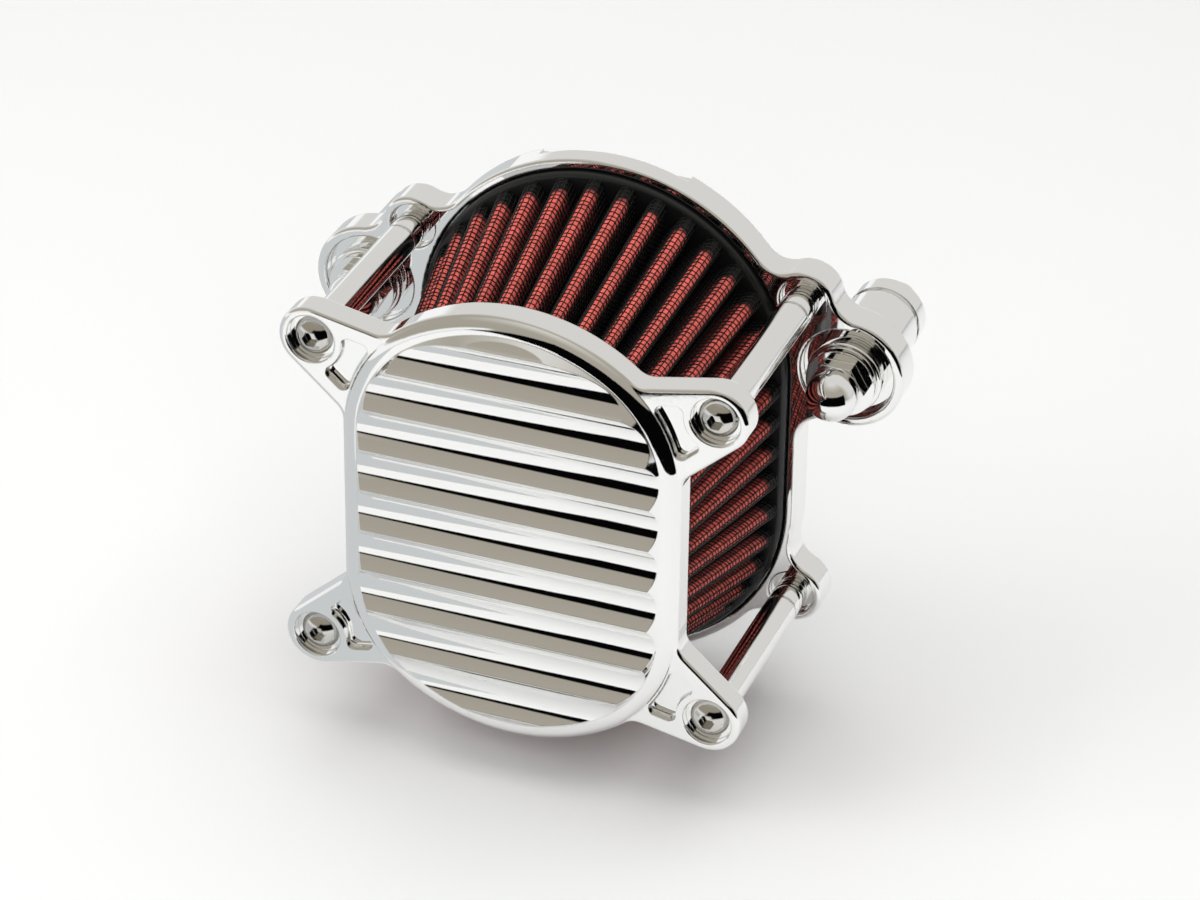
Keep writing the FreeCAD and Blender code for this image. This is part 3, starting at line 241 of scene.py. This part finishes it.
@dataclass(frozen=True)
class OiledCotton(Finish):
    """Surgical cotton gauze soaked in red filter oil: a soft weave, wet in places, with painted shade that turns it
    nearly black deep in the pleats' valleys, and nearly black where the cap's black urethane has wicked up from the
    ends."""

    lit: str = "#E8675C"
    # The next two colours are painted shade: a darker red and a near black that stand in for the shade deep in the
    # pleats' valleys.
    painted_half_shade: str = "#541E1B"
    painted_valley_shade: str = "#191110"
    wicked_black: str = "#0B0A0A"
    thread_mm: float = 0.45
    thread_height_mm: float = 0.12
    blotch_mm: float = 5.0
    ragged_mm: float = 5.0
    rear_y_mm: float = -22.3
    wick_mm: float = 5.2

    def surface(self, tree: bpy.types.NodeTree) -> bpy.types.Node:
        """A rough cloth darkened by painted shade with the depth in the fold, and turned black near the rear cap.

        Args:
            tree: The material's node tree.

        Returns:
            The shader node.
        """
        place = add_node(tree, "ShaderNodeTexCoord").outputs["Object"]
        depth = add_node(tree, "ShaderNodeAttribute", attribute_name="fold_depth").outputs["Fac"]
        weave = add_node(tree, "ShaderNodeTexNoise", {"Vector": place, "Scale": 1 / (self.thread_mm * MM),
                                                      "Detail": 2.0})
        blotch = add_node(tree, "ShaderNodeTexNoise", {"Vector": place, "Scale": 1 / (self.blotch_mm * MM),
                                                       "Detail": 2.0})
        # Painted shade: the red darkens towards near black with the depth in the fold, standing in for the shade in
        # the pleats' valleys.
        folded = add_node(tree, "ShaderNodeValToRGB", {"Fac": depth}, stops=[
            (0.0, linear(self.lit)), (0.1, linear(self.lit)), (0.34, linear(self.painted_half_shade)), (0.62, linear(self.painted_valley_shade))])
        threads = add_node(tree, "ShaderNodeMapRange", {"Value": weave.outputs["Fac"], "From Min": 0.3,
                                                        "From Max": 0.7, "To Min": 0.68, "To Max": 1.15})
        patches = add_node(tree, "ShaderNodeMapRange", {"Value": blotch.outputs["Fac"], "From Min": 0.3,
                                                        "From Max": 0.7, "To Min": 0.8, "To Max": 1.1})
        both = add_node(tree, "ShaderNodeMath", {0: threads.outputs["Result"], 1: patches.outputs["Result"]},
                        operation="MULTIPLY")
        woven = add_node(tree, "ShaderNodeVectorMath", {0: folded.outputs["Color"], "Scale": both.outputs[0]},
                         operation="SCALE")
        along = add_node(tree, "ShaderNodeSeparateXYZ", {0: place}).outputs["Y"]
        ragged = add_node(tree, "ShaderNodeMath", {0: blotch.outputs["Fac"], 1: self.ragged_mm * MM, 2: along},
                          operation="MULTIPLY_ADD")
        wicked = add_node(tree, "ShaderNodeMapRange", {
            "Value": ragged.outputs[0], "From Min": (self.rear_y_mm - self.wick_mm + 1.5) * MM,
            "From Max": (self.rear_y_mm - self.wick_mm + 4.0) * MM})
        colour = add_node(tree, "ShaderNodeMix", {
            "Factor": wicked.outputs["Result"], 6: woven.outputs[0], 7: linear(self.wicked_black)}, data_type="RGBA")
        bump = add_node(tree, "ShaderNodeBump", {"Height": weave.outputs["Fac"], "Strength": 0.6,
                                                 "Distance": self.thread_height_mm * MM})
        return add_node(tree, "ShaderNodeBsdfPrincipled", {
            "Base Color": colour.outputs[2], "Roughness": 0.62, "Specular IOR Level": 0.35,
            "Normal": bump.outputs["Normal"]})


@dataclass(frozen=True)
class CoatedWire(Finish):
    """Steel wire dipped in black epoxy: dark and glossy, so that each wire carries a thin line of light."""

    colour: str = "#0C0D0E"
    run_mm: float = 2.0

    def surface(self, tree: bpy.types.NodeTree) -> bpy.types.Node:
        """A black coat of uneven gloss.

        Args:
            tree: The material's node tree.

        Returns:
            The shader node.
        """
        place = add_node(tree, "ShaderNodeTexCoord").outputs["Object"]
        runs = add_node(tree, "ShaderNodeTexNoise", {"Vector": place, "Scale": 1 / (self.run_mm * MM), "Detail": 2.0})
        rough = add_node(tree, "ShaderNodeMapRange", {"Value": runs.outputs["Fac"], "To Min": 0.3, "To Max": 0.5})
        return add_node(tree, "ShaderNodeBsdfPrincipled", {
            "Base Color": linear(self.colour), "Roughness": rough.outputs["Result"]})


@dataclass(frozen=True)
class MouldedRubber(Finish):
    """Black urethane or nitrile poured or moulded in a smooth tool: satin, with a skin of tiny pits."""

    colour: str = "#101112"
    gloss: float = 0.38
    pit_mm: float = 0.6
    pit_height_mm: float = 0.05
    waver_mm: float = 12.0
    waver_height_mm: float = 0.15

    def surface(self, tree: bpy.types.NodeTree) -> bpy.types.Node:
        """A dark satin skin with 0.6 mm pits and a slow waver.

        Args:
            tree: The material's node tree.

        Returns:
            The shader node.
        """
        place = add_node(tree, "ShaderNodeTexCoord").outputs["Object"]
        pits = add_node(tree, "ShaderNodeTexNoise", {"Vector": place, "Scale": 1 / (self.pit_mm * MM), "Detail": 3.0})
        waver = add_node(tree, "ShaderNodeTexNoise", {"Vector": place, "Scale": 1 / (self.waver_mm * MM),
                                                      "Detail": 1.0})
        fine = add_node(tree, "ShaderNodeBump", {"Height": pits.outputs["Fac"], "Strength": 0.25,
                                                 "Distance": self.pit_height_mm * MM})
        bump = add_node(tree, "ShaderNodeBump", {"Height": waver.outputs["Fac"], "Strength": 0.5,
                                                 "Distance": self.waver_height_mm * MM,
                                                 "Normal": fine.outputs["Normal"]})
        rough = add_node(tree, "ShaderNodeMapRange", {"Value": pits.outputs["Fac"], "To Min": self.gloss - 0.08,
                                                      "To Max": self.gloss + 0.12})
        return add_node(tree, "ShaderNodeBsdfPrincipled", {
            "Base Color": linear(self.colour), "Roughness": rough.outputs["Result"],
            "Normal": bump.outputs["Normal"]})


@dataclass(frozen=True)
class TurnedAluminium(Finish):
    """Bare aluminium faced on a lathe: pale, with rings a tenth of a millimetre apart that smear highlights.
    The rings are drawn at 0.4 mm, because a finer pitch would not show."""

    colour: str = "#C9CACC"
    feed_mm: float = 0.4
    ring_height_mm: float = 0.01

    def surface(self, tree: bpy.types.NodeTree) -> bpy.types.Node:
        """A satin metal with turning rings about the Y axis.

        Args:
            tree: The material's node tree.

        Returns:
            The shader node.
        """
        place = add_node(tree, "ShaderNodeTexCoord").outputs["Object"]
        flat = add_node(tree, "ShaderNodeVectorMath", {0: place, 1: (1.0, 0.0, 1.0)}, operation="MULTIPLY")
        radius = add_node(tree, "ShaderNodeVectorMath", {0: flat.outputs[0]}, operation="LENGTH")
        turns = add_node(tree, "ShaderNodeMath", {0: radius.outputs["Value"], 1: 2 * math.pi / (self.feed_mm * MM)},
                         operation="MULTIPLY")
        rings = add_node(tree, "ShaderNodeMath", {0: turns.outputs[0]}, operation="SINE")
        bump = add_node(tree, "ShaderNodeBump", {"Height": rings.outputs[0], "Strength": 0.25,
                                                 "Distance": self.ring_height_mm * MM})
        return add_node(tree, "ShaderNodeBsdfPrincipled", {
            "Base Color": linear(self.colour), "Metallic": 1.0, "Roughness": 0.3, "Normal": bump.outputs["Normal"]})


@dataclass(frozen=True)
class FibreSheet(Finish):
    """Pressed fibre gasket sheet: matt, flecked and slightly furry."""

    colour: str = "#6E675C"
    binder: str = "#4F493F"
    fibre_mm: float = 0.8

    def surface(self, tree: bpy.types.NodeTree) -> bpy.types.Node:
        """A matt brown grey with fibres about 1 mm long.

        Args:
            tree: The material's node tree.

        Returns:
            The shader node.
        """
        place = add_node(tree, "ShaderNodeTexCoord").outputs["Object"]
        fibres = add_node(tree, "ShaderNodeTexNoise", {"Vector": place, "Scale": 1 / (self.fibre_mm * MM),
                                                       "Detail": 6.0,
                                                       "Distortion": 1.5})
        colour = add_node(tree, "ShaderNodeValToRGB", {"Fac": fibres.outputs["Fac"]}, stops=[
            (0.3, linear(self.binder)), (0.7, linear(self.colour))])
        return add_node(tree, "ShaderNodeBsdfPrincipled", {"Base Color": colour.outputs["Color"], "Roughness": 0.9})


@dataclass(frozen=True)
class PaintedFloor(Finish):
    """The studio table: matt white laminate."""

    colour: str = "#F4F4F3"

    def surface(self, tree: bpy.types.NodeTree) -> bpy.types.Node:
        """A plain matt white.

        Args:
            tree: The material's node tree.

        Returns:
            The shader node.
        """
        return add_node(tree, "ShaderNodeBsdfPrincipled", {
            "Base Color": linear(self.colour), "Roughness": 0.9, "Specular IOR Level": 0.1})


@dataclass(frozen=True)
class LitPaper(Finish):
    """A studio card or scrim: an even glow of one colour."""

    colour: str = "#FFFFFF"
    strength: float = 1.0

    def surface(self, tree: bpy.types.NodeTree) -> bpy.types.Node:
        """An even emission.

        Args:
            tree: The material's node tree.

        Returns:
            The shader node.
        """
        return add_node(tree, "ShaderNodeEmission", {"Color": linear(self.colour), "Strength": self.strength})


@dataclass(frozen=True)
class ReflectionTent(Finish):
    """The cloth tent round the table that only shows in the chrome: white walls, a black opening in front,
    grey-brown upper walls and a pale roof."""

    low_wall: str = "#A8A296"
    mid_wall: str = "#ADA79B"
    high_wall: str = "#C4C1B8"
    roof_cloth: str = "#DFDDD8"
    side_cloth: str = "#DCDBD8"
    scrim_cloth: str = "#FFFFFF"
    opening_black: str = "#050506"
    side_from: float = 80.0
    side_to: float = 112.0
    scrim_edge: float = -22.0
    scrim_top: float = 10.0
    opening_end: float = 80.0
    lintel_turns: tuple[float, float] = (-23.0, -5.0)
    lintel_lifts: tuple[float, float] = (-4.0, 23.0)

    def surface(self, tree: bpy.types.NodeTree) -> bpy.types.Node:
        """An emission coloured by direction from the middle of the tent.

        Args:
            tree: The material's node tree.

        Returns:
            The shader node.
        """
        place = add_node(tree, "ShaderNodeTexCoord").outputs["Object"]
        aim = add_node(tree, "ShaderNodeVectorMath", {0: place}, operation="NORMALIZE")
        split = add_node(tree, "ShaderNodeSeparateXYZ", {0: aim.outputs[0]})
        forward = add_node(tree, "ShaderNodeMath", {0: split.outputs["Y"], 1: -1.0}, operation="MULTIPLY")
        turn = add_node(tree, "ShaderNodeMath", {0: split.outputs["X"], 1: forward.outputs[0]},
                        operation="ARCTAN2").outputs[0]
        lift = add_node(tree, "ShaderNodeMath", {0: split.outputs["Z"]}, operation="ARCSINE").outputs[0]
        height = add_node(tree, "ShaderNodeMapRange", {"Value": lift, "From Min": 0.0, "From Max": math.pi / 2})
        upper = add_node(tree, "ShaderNodeValToRGB", {"Fac": height.outputs["Result"]}, stops=[
            (0.0, linear(self.low_wall)), (0.5, linear(self.mid_wall)), (0.68, linear(self.high_wall)),
            (0.85, linear(self.roof_cloth))])
        aside = add_node(tree, "ShaderNodeMath", {0: turn}, operation="ABSOLUTE").outputs[0]
        walls = self.blend(tree, self.edge(tree, aside, self.side_from, self.side_to), upper.outputs["Color"],
                           linear(self.side_cloth))
        scrim = self.both(tree, self.edge(tree, turn, self.scrim_edge + 1.5, self.scrim_edge - 1.5),
                          self.edge(tree, lift, self.scrim_top + 3.0, self.scrim_top - 3.0))
        lit = self.blend(tree, scrim, walls, linear(self.scrim_cloth))
        turns, lifts = self.lintel_turns, self.lintel_lifts
        lintel = add_node(tree, "ShaderNodeMapRange", {
            "Value": turn, "From Min": math.radians(turns[0]), "From Max": math.radians(turns[1]),
            "To Min": math.radians(lifts[0]), "To Max": math.radians(lifts[1])}).outputs["Result"]
        over = add_node(tree, "ShaderNodeMath", {0: lintel, 1: lift}, operation="SUBTRACT").outputs[0]
        gap = self.both(tree, self.edge(tree, over, -1.0, 1.0),
                        self.edge(tree, turn, self.opening_end + 2.0, self.opening_end - 2.0))
        opening = self.both(tree, gap, self.edge(tree, turn, self.scrim_edge - 1.0, self.scrim_edge + 1.0))
        colour = self.blend(tree, opening, lit, linear(self.opening_black))
        return add_node(tree, "ShaderNodeEmission", {"Color": colour, "Strength": 1.0})

    def edge(self, tree: bpy.types.NodeTree, value: bpy.types.NodeSocket, low: float,
             high: float) -> bpy.types.NodeSocket:
        """A soft step between two angles.

        Args:
            tree: The material's node tree.
            value: The angle's socket, in radians.
            low: Where the step is 0, in degrees.
            high: Where the step is 1, in degrees.

        Returns:
            The step's socket.
        """
        return add_node(tree, "ShaderNodeMapRange", {
            "Value": value, "From Min": math.radians(low), "From Max": math.radians(high)},
            interpolation_type="SMOOTHSTEP").outputs["Result"]

    def both(self, tree: bpy.types.NodeTree, one: bpy.types.NodeSocket,
             other: bpy.types.NodeSocket) -> bpy.types.NodeSocket:
        """Where two masks overlap.

        Args:
            tree: The material's node tree.
            one: A mask.
            other: Another mask.

        Returns:
            The overlap's socket.
        """
        return add_node(tree, "ShaderNodeMath", {0: one, 1: other}, operation="MULTIPLY").outputs[0]

    def blend(self, tree: bpy.types.NodeTree, mask: bpy.types.NodeSocket, under: Any,
              over: Any) -> bpy.types.NodeSocket:
        """One colour over another by a mask.

        Args:
            tree: The material's node tree.
            mask: Where the upper colour shows.
            under: The lower colour, or its socket.
            over: The upper colour, or its socket.

        Returns:
            The mixed colour's socket.
        """
        return add_node(tree, "ShaderNodeMix", {"Factor": mask, 6: under, 7: over}, data_type="RGBA").outputs[2]


CHROME = PolishedChrome("polished chrome plate")
SCREW_CHROME = PolishedChrome("chrome plated screw steel", colour="#D2D0CC", haze=0.06)
PLATED_STEEL = PlatedSteel("bright zinc plated steel")
COTTON = OiledCotton("oiled red cotton gauze")
WIRE = CoatedWire("black epoxy coated wire")
URETHANE = MouldedRubber("moulded black urethane")
NITRILE = MouldedRubber("moulded black nitrile", colour="#0B0B0C", gloss=0.3)
ALUMINIUM = TurnedAluminium("turned bare aluminium")
FIBRE = FibreSheet("pressed fibre gasket sheet")
TABLE = PaintedFloor("matt white laminate")
TENT = ReflectionTent("studio tent cloth")
BLACK_CARD = LitPaper("black studio card", colour="#050506")
GREY_CARD = LitPaper("pale grey studio card", colour="#CFD2D3")


@dataclass
class DressedParts:
    """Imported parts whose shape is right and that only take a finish."""

    finish: Finish
    nodes: list[str]

    def dress(self) -> None:
        """Give every part its finish and report it."""
        for name in self.nodes:
            self.finish.dress(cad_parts[name])
            LOG.info("%s: %s", name, self.finish.name)


@dataclass(frozen=True)
class Stadium:
    """An outline of two half circles joined by straight sides, upright in the XZ plane."""

    radius: float
    reach: float

    def point(self, share: float, inset: float, arc_share: float) -> tuple[float, float]:
        """A point of the outline.

        Args:
            share: How far round, from 0 to 1, anticlockwise from the right end of the top arc.
            inset: How far the outline is moved inwards.
            arc_share: The share of the way round that each half circle takes.

        Returns:
            Its X and Z.
        """
        side_share = 0.5 - arc_share
        share %= 1.0
        half, along = divmod(share, 0.5)
        sign = 1.0 if half == 0 else -1.0
        radius = self.radius - inset
        if along < arc_share:
            turn = math.pi * along / arc_share
            return sign * radius * math.cos(turn), sign * (self.reach + radius * math.sin(turn))
        down = (along - arc_share) / side_share
        return -sign * radius, sign * self.reach * (1 - 2 * down)


@dataclass
class PleatedElement:
    """The filter element: cotton media folded into pleats, between two wire screens folded with it."""

    rear: Stadium = field(default_factory=lambda: Stadium(53.5, 20.6))
    front: Stadium = field(default_factory=lambda: Stadium(44.0, 14.5))
    pleats: int = 43
    first_pleat: float = 0.873
    depth: float = 12.6
    tip_share: float = 0.235
    wire_pitch: float = 1.6
    wire_thick: float = 0.46
    media_steps: int = 24
    media_rows: int = 6
    quarters: int = 4
    flank_points: int = 41
    tip_points: int = 48
    media_gap: float = 0.15
    screen_lift: float = 0.24
    wire_weave: float = 0.05
    wire_sway: float = 0.12
    rim_clearance: float = 0.05
    front_squeeze: float = 0.94

    def __post_init__(self) -> None:
        """Read the element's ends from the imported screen."""
        low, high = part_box("filter_outer_screen")
        self.front_y = low[1] / MM
        self.rear_y = high[1] / MM
        self.arc_share = self.half_circle_share()

    def half_circle_share(self) -> float:
        """The share of the rear outline that each half circle takes."""
        arc = math.pi * self.rear.radius
        return 0.5 * arc / (arc + 2 * self.rear.reach)

    def fold_line(self, steps: int, lift: float) -> list[tuple[float, float]]:
        """One pleat's cross-section, from valley over the tip to valley, in even steps.

        Args:
            steps: How many steps.
            lift: How far the line lies outside the media's middle, in millimetres.

        Returns:
            For each point, its place across the pleat as a share of the pitch, and its depth.
        """
        pitch = math.pi * self.rear.radius / (self.arc_share * self.pleats)
        tip = self.tip_share * pitch
        fine: list[tuple[float, float]] = []
        for i in range(self.flank_points):
            climb = i / (self.flank_points - 1)
            fine.append((-0.5 * pitch + (0.5 * pitch - tip) * climb, self.depth - (self.depth - tip) * climb))
        for i in range(1, self.tip_points):
            turn = math.pi * i / self.tip_points
            fine.append((-tip * math.cos(turn), tip - tip * math.sin(turn)))
        fine += [(-across, down) for across, down in reversed(fine[:self.flank_points])]
        lengths = [0.0]
        for (a, b), (c, d) in zip(fine, fine[1:]):
            lengths.append(lengths[-1] + math.hypot(c - a, d - b))
        line: list[tuple[float, float]] = []
        spot = 0
        for step in range(steps + 1):
            wanted = lengths[-1] * step / steps
            while spot < len(fine) - 2 and lengths[spot + 1] < wanted:
                spot += 1
            share = (wanted - lengths[spot]) / (lengths[spot + 1] - lengths[spot])
            across = fine[spot][0] + (fine[spot + 1][0] - fine[spot][0]) * share
            down = fine[spot][1] + (fine[spot + 1][1] - fine[spot][1]) * share
            from_tip = min(1.0, down / tip)
            widen = 1 + lift / tip * (1 if abs(across) <= tip else 0.5)
            across = max(-0.5 * pitch, min(0.5 * pitch, across * widen))
            line.append((across / pitch,
                         max(self.rim_clearance, down + self.media_gap - lift * (1 - 0.9 * from_tip))))
        return line

    def place(self, around: float, along: float, down: float) -> Vector:
        """A point of the folded sheet in the row frame.

        Args:
            around: How far round, in pleats.
            along: 0 at the front cap, 1 at the rear cap.
            down: Depth below the pleat tips' outline, in millimetres.

        Returns:
            The point in metres.
        """
        share = (around + self.first_pleat) / self.pleats
        fx, fz = self.front.point(share, down * self.front_squeeze, self.arc_share)
        rx, rz = self.rear.point(share, down, self.arc_share)
        y = self.front_y + (self.rear_y - self.front_y) * along
        return Vector(((fx + (rx - fx) * along) * MM, y * MM, (fz + (rz - fz) * along) * MM))

    def folded_sheet(self, name: str, first: int, count: int, steps: int, rows: int, lift: float,
                     weave: float) -> bpy.types.Object:
        """A flat sheet folded into some of the pleats.

        Args:
            name: The piece's name.
            first: The first pleat.
            count: How many pleats.
            steps: Steps across one pleat.
            rows: Steps from cap to cap.
            lift: How far the sheet lies outside the media's middle, in millimetres.
            weave: How far neighbouring crossings stand apart, in millimetres.

        Returns:
            The folded piece, with its depth in the fold kept on its points.
        """
        bpy.ops.object.select_all(action="DESELECT")
        bpy.ops.mesh.primitive_grid_add(x_subdivisions=count * steps, y_subdivisions=rows, size=1.0)
        sheet = bpy.context.active_object
        sheet.name = sheet.data.name = name
        line = self.fold_line(steps, lift)
        depths: list[float] = []
        for vertex in sheet.data.vertices:
            column = round((vertex.co.x + 0.5) * count * steps)
            row = round((vertex.co.y + 0.5) * rows)
            pleat, step = divmod(column, steps)
            across, down = line[step]
            sway = self.wire_sway * math.sin(1.7 * row + 0.9 * column) if weave else 0.0
            under = weave * (1 if (row + column) % 2 else -1)
            along = min(1.0, max(0.0, (row + sway) / rows))
            vertex.co = self.place(first + pleat + across, along, max(self.rim_clearance, down + under))
            depths.append(min(1.0, down / self.depth))
        held = sheet.data.attributes.new("fold_depth", "FLOAT", "POINT")
        held.data.foreach_set("value", depths)
        bpy.ops.object.mode_set(mode="EDIT")
        bpy.ops.mesh.select_all(action="SELECT")
        bpy.ops.mesh.remove_doubles(threshold=0.01 * MM)
        bpy.ops.object.mode_set(mode="OBJECT")
        self.face_outwards(sheet)
        return sheet

    def face_outwards(self, sheet: bpy.types.Object) -> None:
        """Turn the sheet's faces so that the pleat tips face away from the element's middle.

        Args:
            sheet: The folded piece.
        """
        outward = sum(face.normal.x * face.center.x + face.normal.z * face.center.z for face in sheet.data.polygons)
        if outward < 0:
            bpy.ops.object.mode_set(mode="EDIT")
            bpy.ops.mesh.select_all(action="SELECT")
            bpy.ops.mesh.flip_normals()
            bpy.ops.object.mode_set(mode="OBJECT")

    def build_media(self) -> bpy.types.Object:
        """The cotton media, one closed ring of pleats.

        Returns:
            The media.
        """
        media = self.folded_sheet("pleated_cotton_media", 0, self.pleats, self.media_steps, self.media_rows, 0.0, 0.0)
        bpy.ops.object.shade_smooth()
        COTTON.dress(media)
        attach(media, ROOT)
        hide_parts("filter_media")
        LOG.info("%s: %d faces", media.name, len(media.data.polygons))
        return media

    def build_screen(self, side: Side, pitch: float, node: str) -> list[bpy.types.Object]:
        """A woven wire screen that follows the pleats, in quarters.

        Args:
            side: Which face of the media it lies on.
            pitch: The distance between neighbouring wires, in millimetres.
            node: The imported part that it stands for.

        Returns:
            The quarters.
        """
        length = self.rear_y - self.front_y
        fold = math.pi * self.rear.radius / (self.arc_share * self.pleats)
        developed = 2 * math.hypot(fold * (0.5 - self.tip_share), self.depth) + fold * self.tip_share
        steps = round(developed / pitch)
        rows = round(length / pitch)
        made: list[bpy.types.Object] = []
        bounds = [round(self.pleats * i / self.quarters) for i in range(self.quarters + 1)]
        for part, (first, last) in enumerate(zip(bounds, bounds[1:]), start=1):
            name = f"wire_screen_{side.name.lower()}_{part}"
            screen = self.folded_sheet(name, first, last - first, steps, rows,
                                       self.screen_lift * side.value, self.wire_weave)
            wires = screen.modifiers.new("wires", "WIREFRAME")
            wires.thickness = self.wire_thick * MM
            wires.use_even_offset = False
            wires.use_boundary = True
            wires.offset = 0.0
            bpy.ops.object.modifier_apply(modifier=wires.name)
            bpy.ops.object.shade_smooth()
            WIRE.dress(screen)
            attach(screen, ROOT)
            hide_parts(node)
            LOG.info("%s: %d faces", name, len(screen.data.polygons))
            made.append(screen)
        return made

    def build(self) -> None:
        """Build the media and both screens."""
        self.build_media()
        self.build_screen(Side.OUTSIDE, self.wire_pitch, "filter_outer_screen")
        self.build_screen(Side.INSIDE, 2 * self.wire_pitch, "filter_inner_screen")


@dataclass(frozen=True)
class SoftBox:
    """A square soft box that is aimed at the object's middle. Sizes in metres, power in watts."""

    name: str
    place: tuple[float, float, float]
    size: float
    power: float

    def build(self) -> None:
        """Add the lamp, kept out of the chrome's reflections."""
        lamp = bpy.data.lights.new(self.name, "AREA")
        lamp.shape = "SQUARE"
        lamp.size = self.size
        lamp.energy = self.power
        box = bpy.data.objects.new(self.name, lamp)
        bpy.context.scene.collection.objects.link(box)
        box.location = self.place
        box.rotation_mode = "QUATERNION"
        box.rotation_quaternion = Vector(self.place).to_track_quat("Z", "Y")
        box.visible_glossy = False


def show_in_chrome_only(item: bpy.types.Object) -> None:
    """Let a card or tent show in reflections only.

    Args:
        item: The card or tent.
    """
    item.visible_camera = False
    item.visible_diffuse = False
    item.visible_shadow = False
    item.visible_transmission = False


@dataclass(frozen=True)
class FloorCard:
    """A card that lies on the table as a wedge of a ring and shows in the chrome only. Sizes in metres, ends
    of the wedge in degrees from the front."""

    name: str
    finish: Finish
    inner: float
    outer: float
    first: float
    last: float
    middle: tuple[float, float] = (0.1, -0.03)
    rise: float = 0.002

    def build(self) -> None:
        """Build a ring and cut the wedge from it."""
        low, _ = cad_box
        middle = Vector((*self.middle, low[2] + self.rise))
        spread = self.outer / self.inner
        bpy.ops.object.select_all(action="DESELECT")
        bpy.ops.mesh.primitive_circle_add(vertices=180, radius=self.inner, fill_type="NOTHING", location=middle)
        card = bpy.context.active_object
        card.name = self.name
        bpy.ops.object.mode_set(mode="EDIT")
        bpy.ops.mesh.select_all(action="SELECT")
        bpy.ops.mesh.extrude_edges_move()
        bpy.ops.transform.resize(value=(spread, spread, 1.0), center_override=middle)
        bpy.ops.mesh.select_mode(type="FACE")
        bpy.ops.mesh.select_all(action="DESELECT")
        bpy.ops.object.mode_set(mode="OBJECT")
        for face in card.data.polygons:
            turn = math.degrees(math.atan2(face.center.x, -face.center.y))
            face.select = not self.first < turn < self.last
        bpy.ops.object.mode_set(mode="EDIT")
        bpy.ops.mesh.delete(type="FACE")
        bpy.ops.object.mode_set(mode="OBJECT")
        self.finish.dress(card)
        show_in_chrome_only(card)


@dataclass
class Studio:
    """The table, the tent that shows in the chrome, the lights and the camera. Sizes in metres."""

    table_radius: float = 8.0
    table_drop: float = 0.0015
    tent_radius: float = 2.6
    cards: tuple[FloorCard, ...] = (
        FloorCard("black_card", BLACK_CARD, 0.3, 2.55, -29.0, 80.0),
        FloorCard("grey_card", GREY_CARD, 0.17, 2.5, -150.0, -46.0),
    )
    sky_strength: float = 0.38
    soft_boxes: tuple[SoftBox, ...] = (
        SoftBox("top_box", (0.0, 0.1, 1.3), 1.6, 14.0),
        SoftBox("left_box", (-1.2, -0.9, 0.9), 1.0, 8.0),
        SoftBox("front_box", (0.7, -1.4, 0.9), 0.9, 6.0),
    )
    camera_place: tuple[float, float, float] = (0.3909, -1.0524, 0.6462)
    camera_right: tuple[float, float, float] = (0.9324, 0.3612, 0.0118)
    camera_up: tuple[float, float, float] = (-0.1947, 0.4745, 0.8585)
    camera_back: tuple[float, float, float] = (0.3045, -0.8028, 0.5127)
    lens: float = 135.6

    def build_table(self) -> None:
        """A wide white table just below the lowest part."""
        low, _ = cad_box
        bpy.ops.object.select_all(action="DESELECT")
        bpy.ops.mesh.primitive_circle_add(vertices=96, radius=self.table_radius, fill_type="NGON",
                                          location=(0, 0, low[2] - self.table_drop))
        table = bpy.context.active_object
        table.name = "table"
        TABLE.dress(table)

    def build_tent(self) -> None:
        """The tent: a sphere round everything, painted by direction."""
        bpy.ops.object.select_all(action="DESELECT")
        bpy.ops.mesh.primitive_uv_sphere_add(segments=48, ring_count=24, radius=self.tent_radius)
        tent = bpy.context.active_object
        tent.name = "tent"
        TENT.dress(tent)
        show_in_chrome_only(tent)

    def build_lights(self) -> None:
        """Soft boxes above, to the left and in front, and an even sky."""
        for box in self.soft_boxes:
            box.build()
        sky = bpy.data.worlds.new("studio sky")
        sky.use_nodes = True
        sky.node_tree.nodes.clear()
        glow = add_node(sky.node_tree, "ShaderNodeBackground", {"Color": linear("#FFFFFF"),
                                                                 "Strength": self.sky_strength})
        add_node(sky.node_tree, "ShaderNodeOutputWorld", {"Surface": glow.outputs[0]})
        bpy.context.scene.world = sky

    def build_camera(self) -> None:
        """The camera, above the cover and to its right."""
        lens = bpy.data.cameras.new("camera")
        lens.sensor_width = 36.0
        lens.lens = self.lens
        lens.clip_end = 50.0
        camera = bpy.data.objects.new("camera", lens)
        bpy.context.scene.collection.objects.link(camera)
        axes = Matrix((self.camera_right, self.camera_up, self.camera_back)).transposed()
        camera.matrix_world = Matrix.Translation(self.camera_place) @ axes.to_4x4()
        bpy.context.scene.camera = camera

    def build(self) -> None:
        """Build the whole studio."""
        self.build_table()
        self.build_tent()
        for card in self.cards:
            card.build()
        self.build_lights()
        self.build_camera()
        bpy.context.scene.view_settings.view_transform = "Standard"
        LOG.info("studio ready")


def sides(*stems: str) -> list[str]:
    """The left and right node of each stem, such as breather_bolt.

    Args:
        stems: Node names without their side.

    Returns:
        The full node names.
    """
    return [f"{stem}_{side}" for stem in stems for side in ("left", "right")]


def main() -> None:
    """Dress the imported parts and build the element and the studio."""
    logging.basicConfig(level=logging.INFO, format="%(message)s")
    posts = [f"post_{level}_{side}" for level in ("upper", "lower") for side in ("left", "right")]
    assemblies = [
        DressedParts(CHROME, ["front_cover", "back_plate", *posts,
                              *sides("breather_bolt", "breather_collar", "breather_spacer")]),
        DressedParts(SCREW_CHROME, ["cover_screws"]),
        DressedParts(PLATED_STEEL, ["post_rear_screws", "throttle_screws"]),
        DressedParts(URETHANE, ["filter_front_cap", "filter_rear_cap"]),
        DressedParts(NITRILE, ["adapter_o_ring", *sides("breather_collar_o_ring", "breather_plate_o_ring",
                                                        "breather_head_o_ring")]),
        DressedParts(ALUMINIUM, ["intake_adapter"]),
        DressedParts(FIBRE, ["throttle_gasket"]),
    ]
    for assembly in assemblies:
        assembly.dress()
    PleatedElement().build()
    Studio().build()


if __name__ == "__main__":
    main()
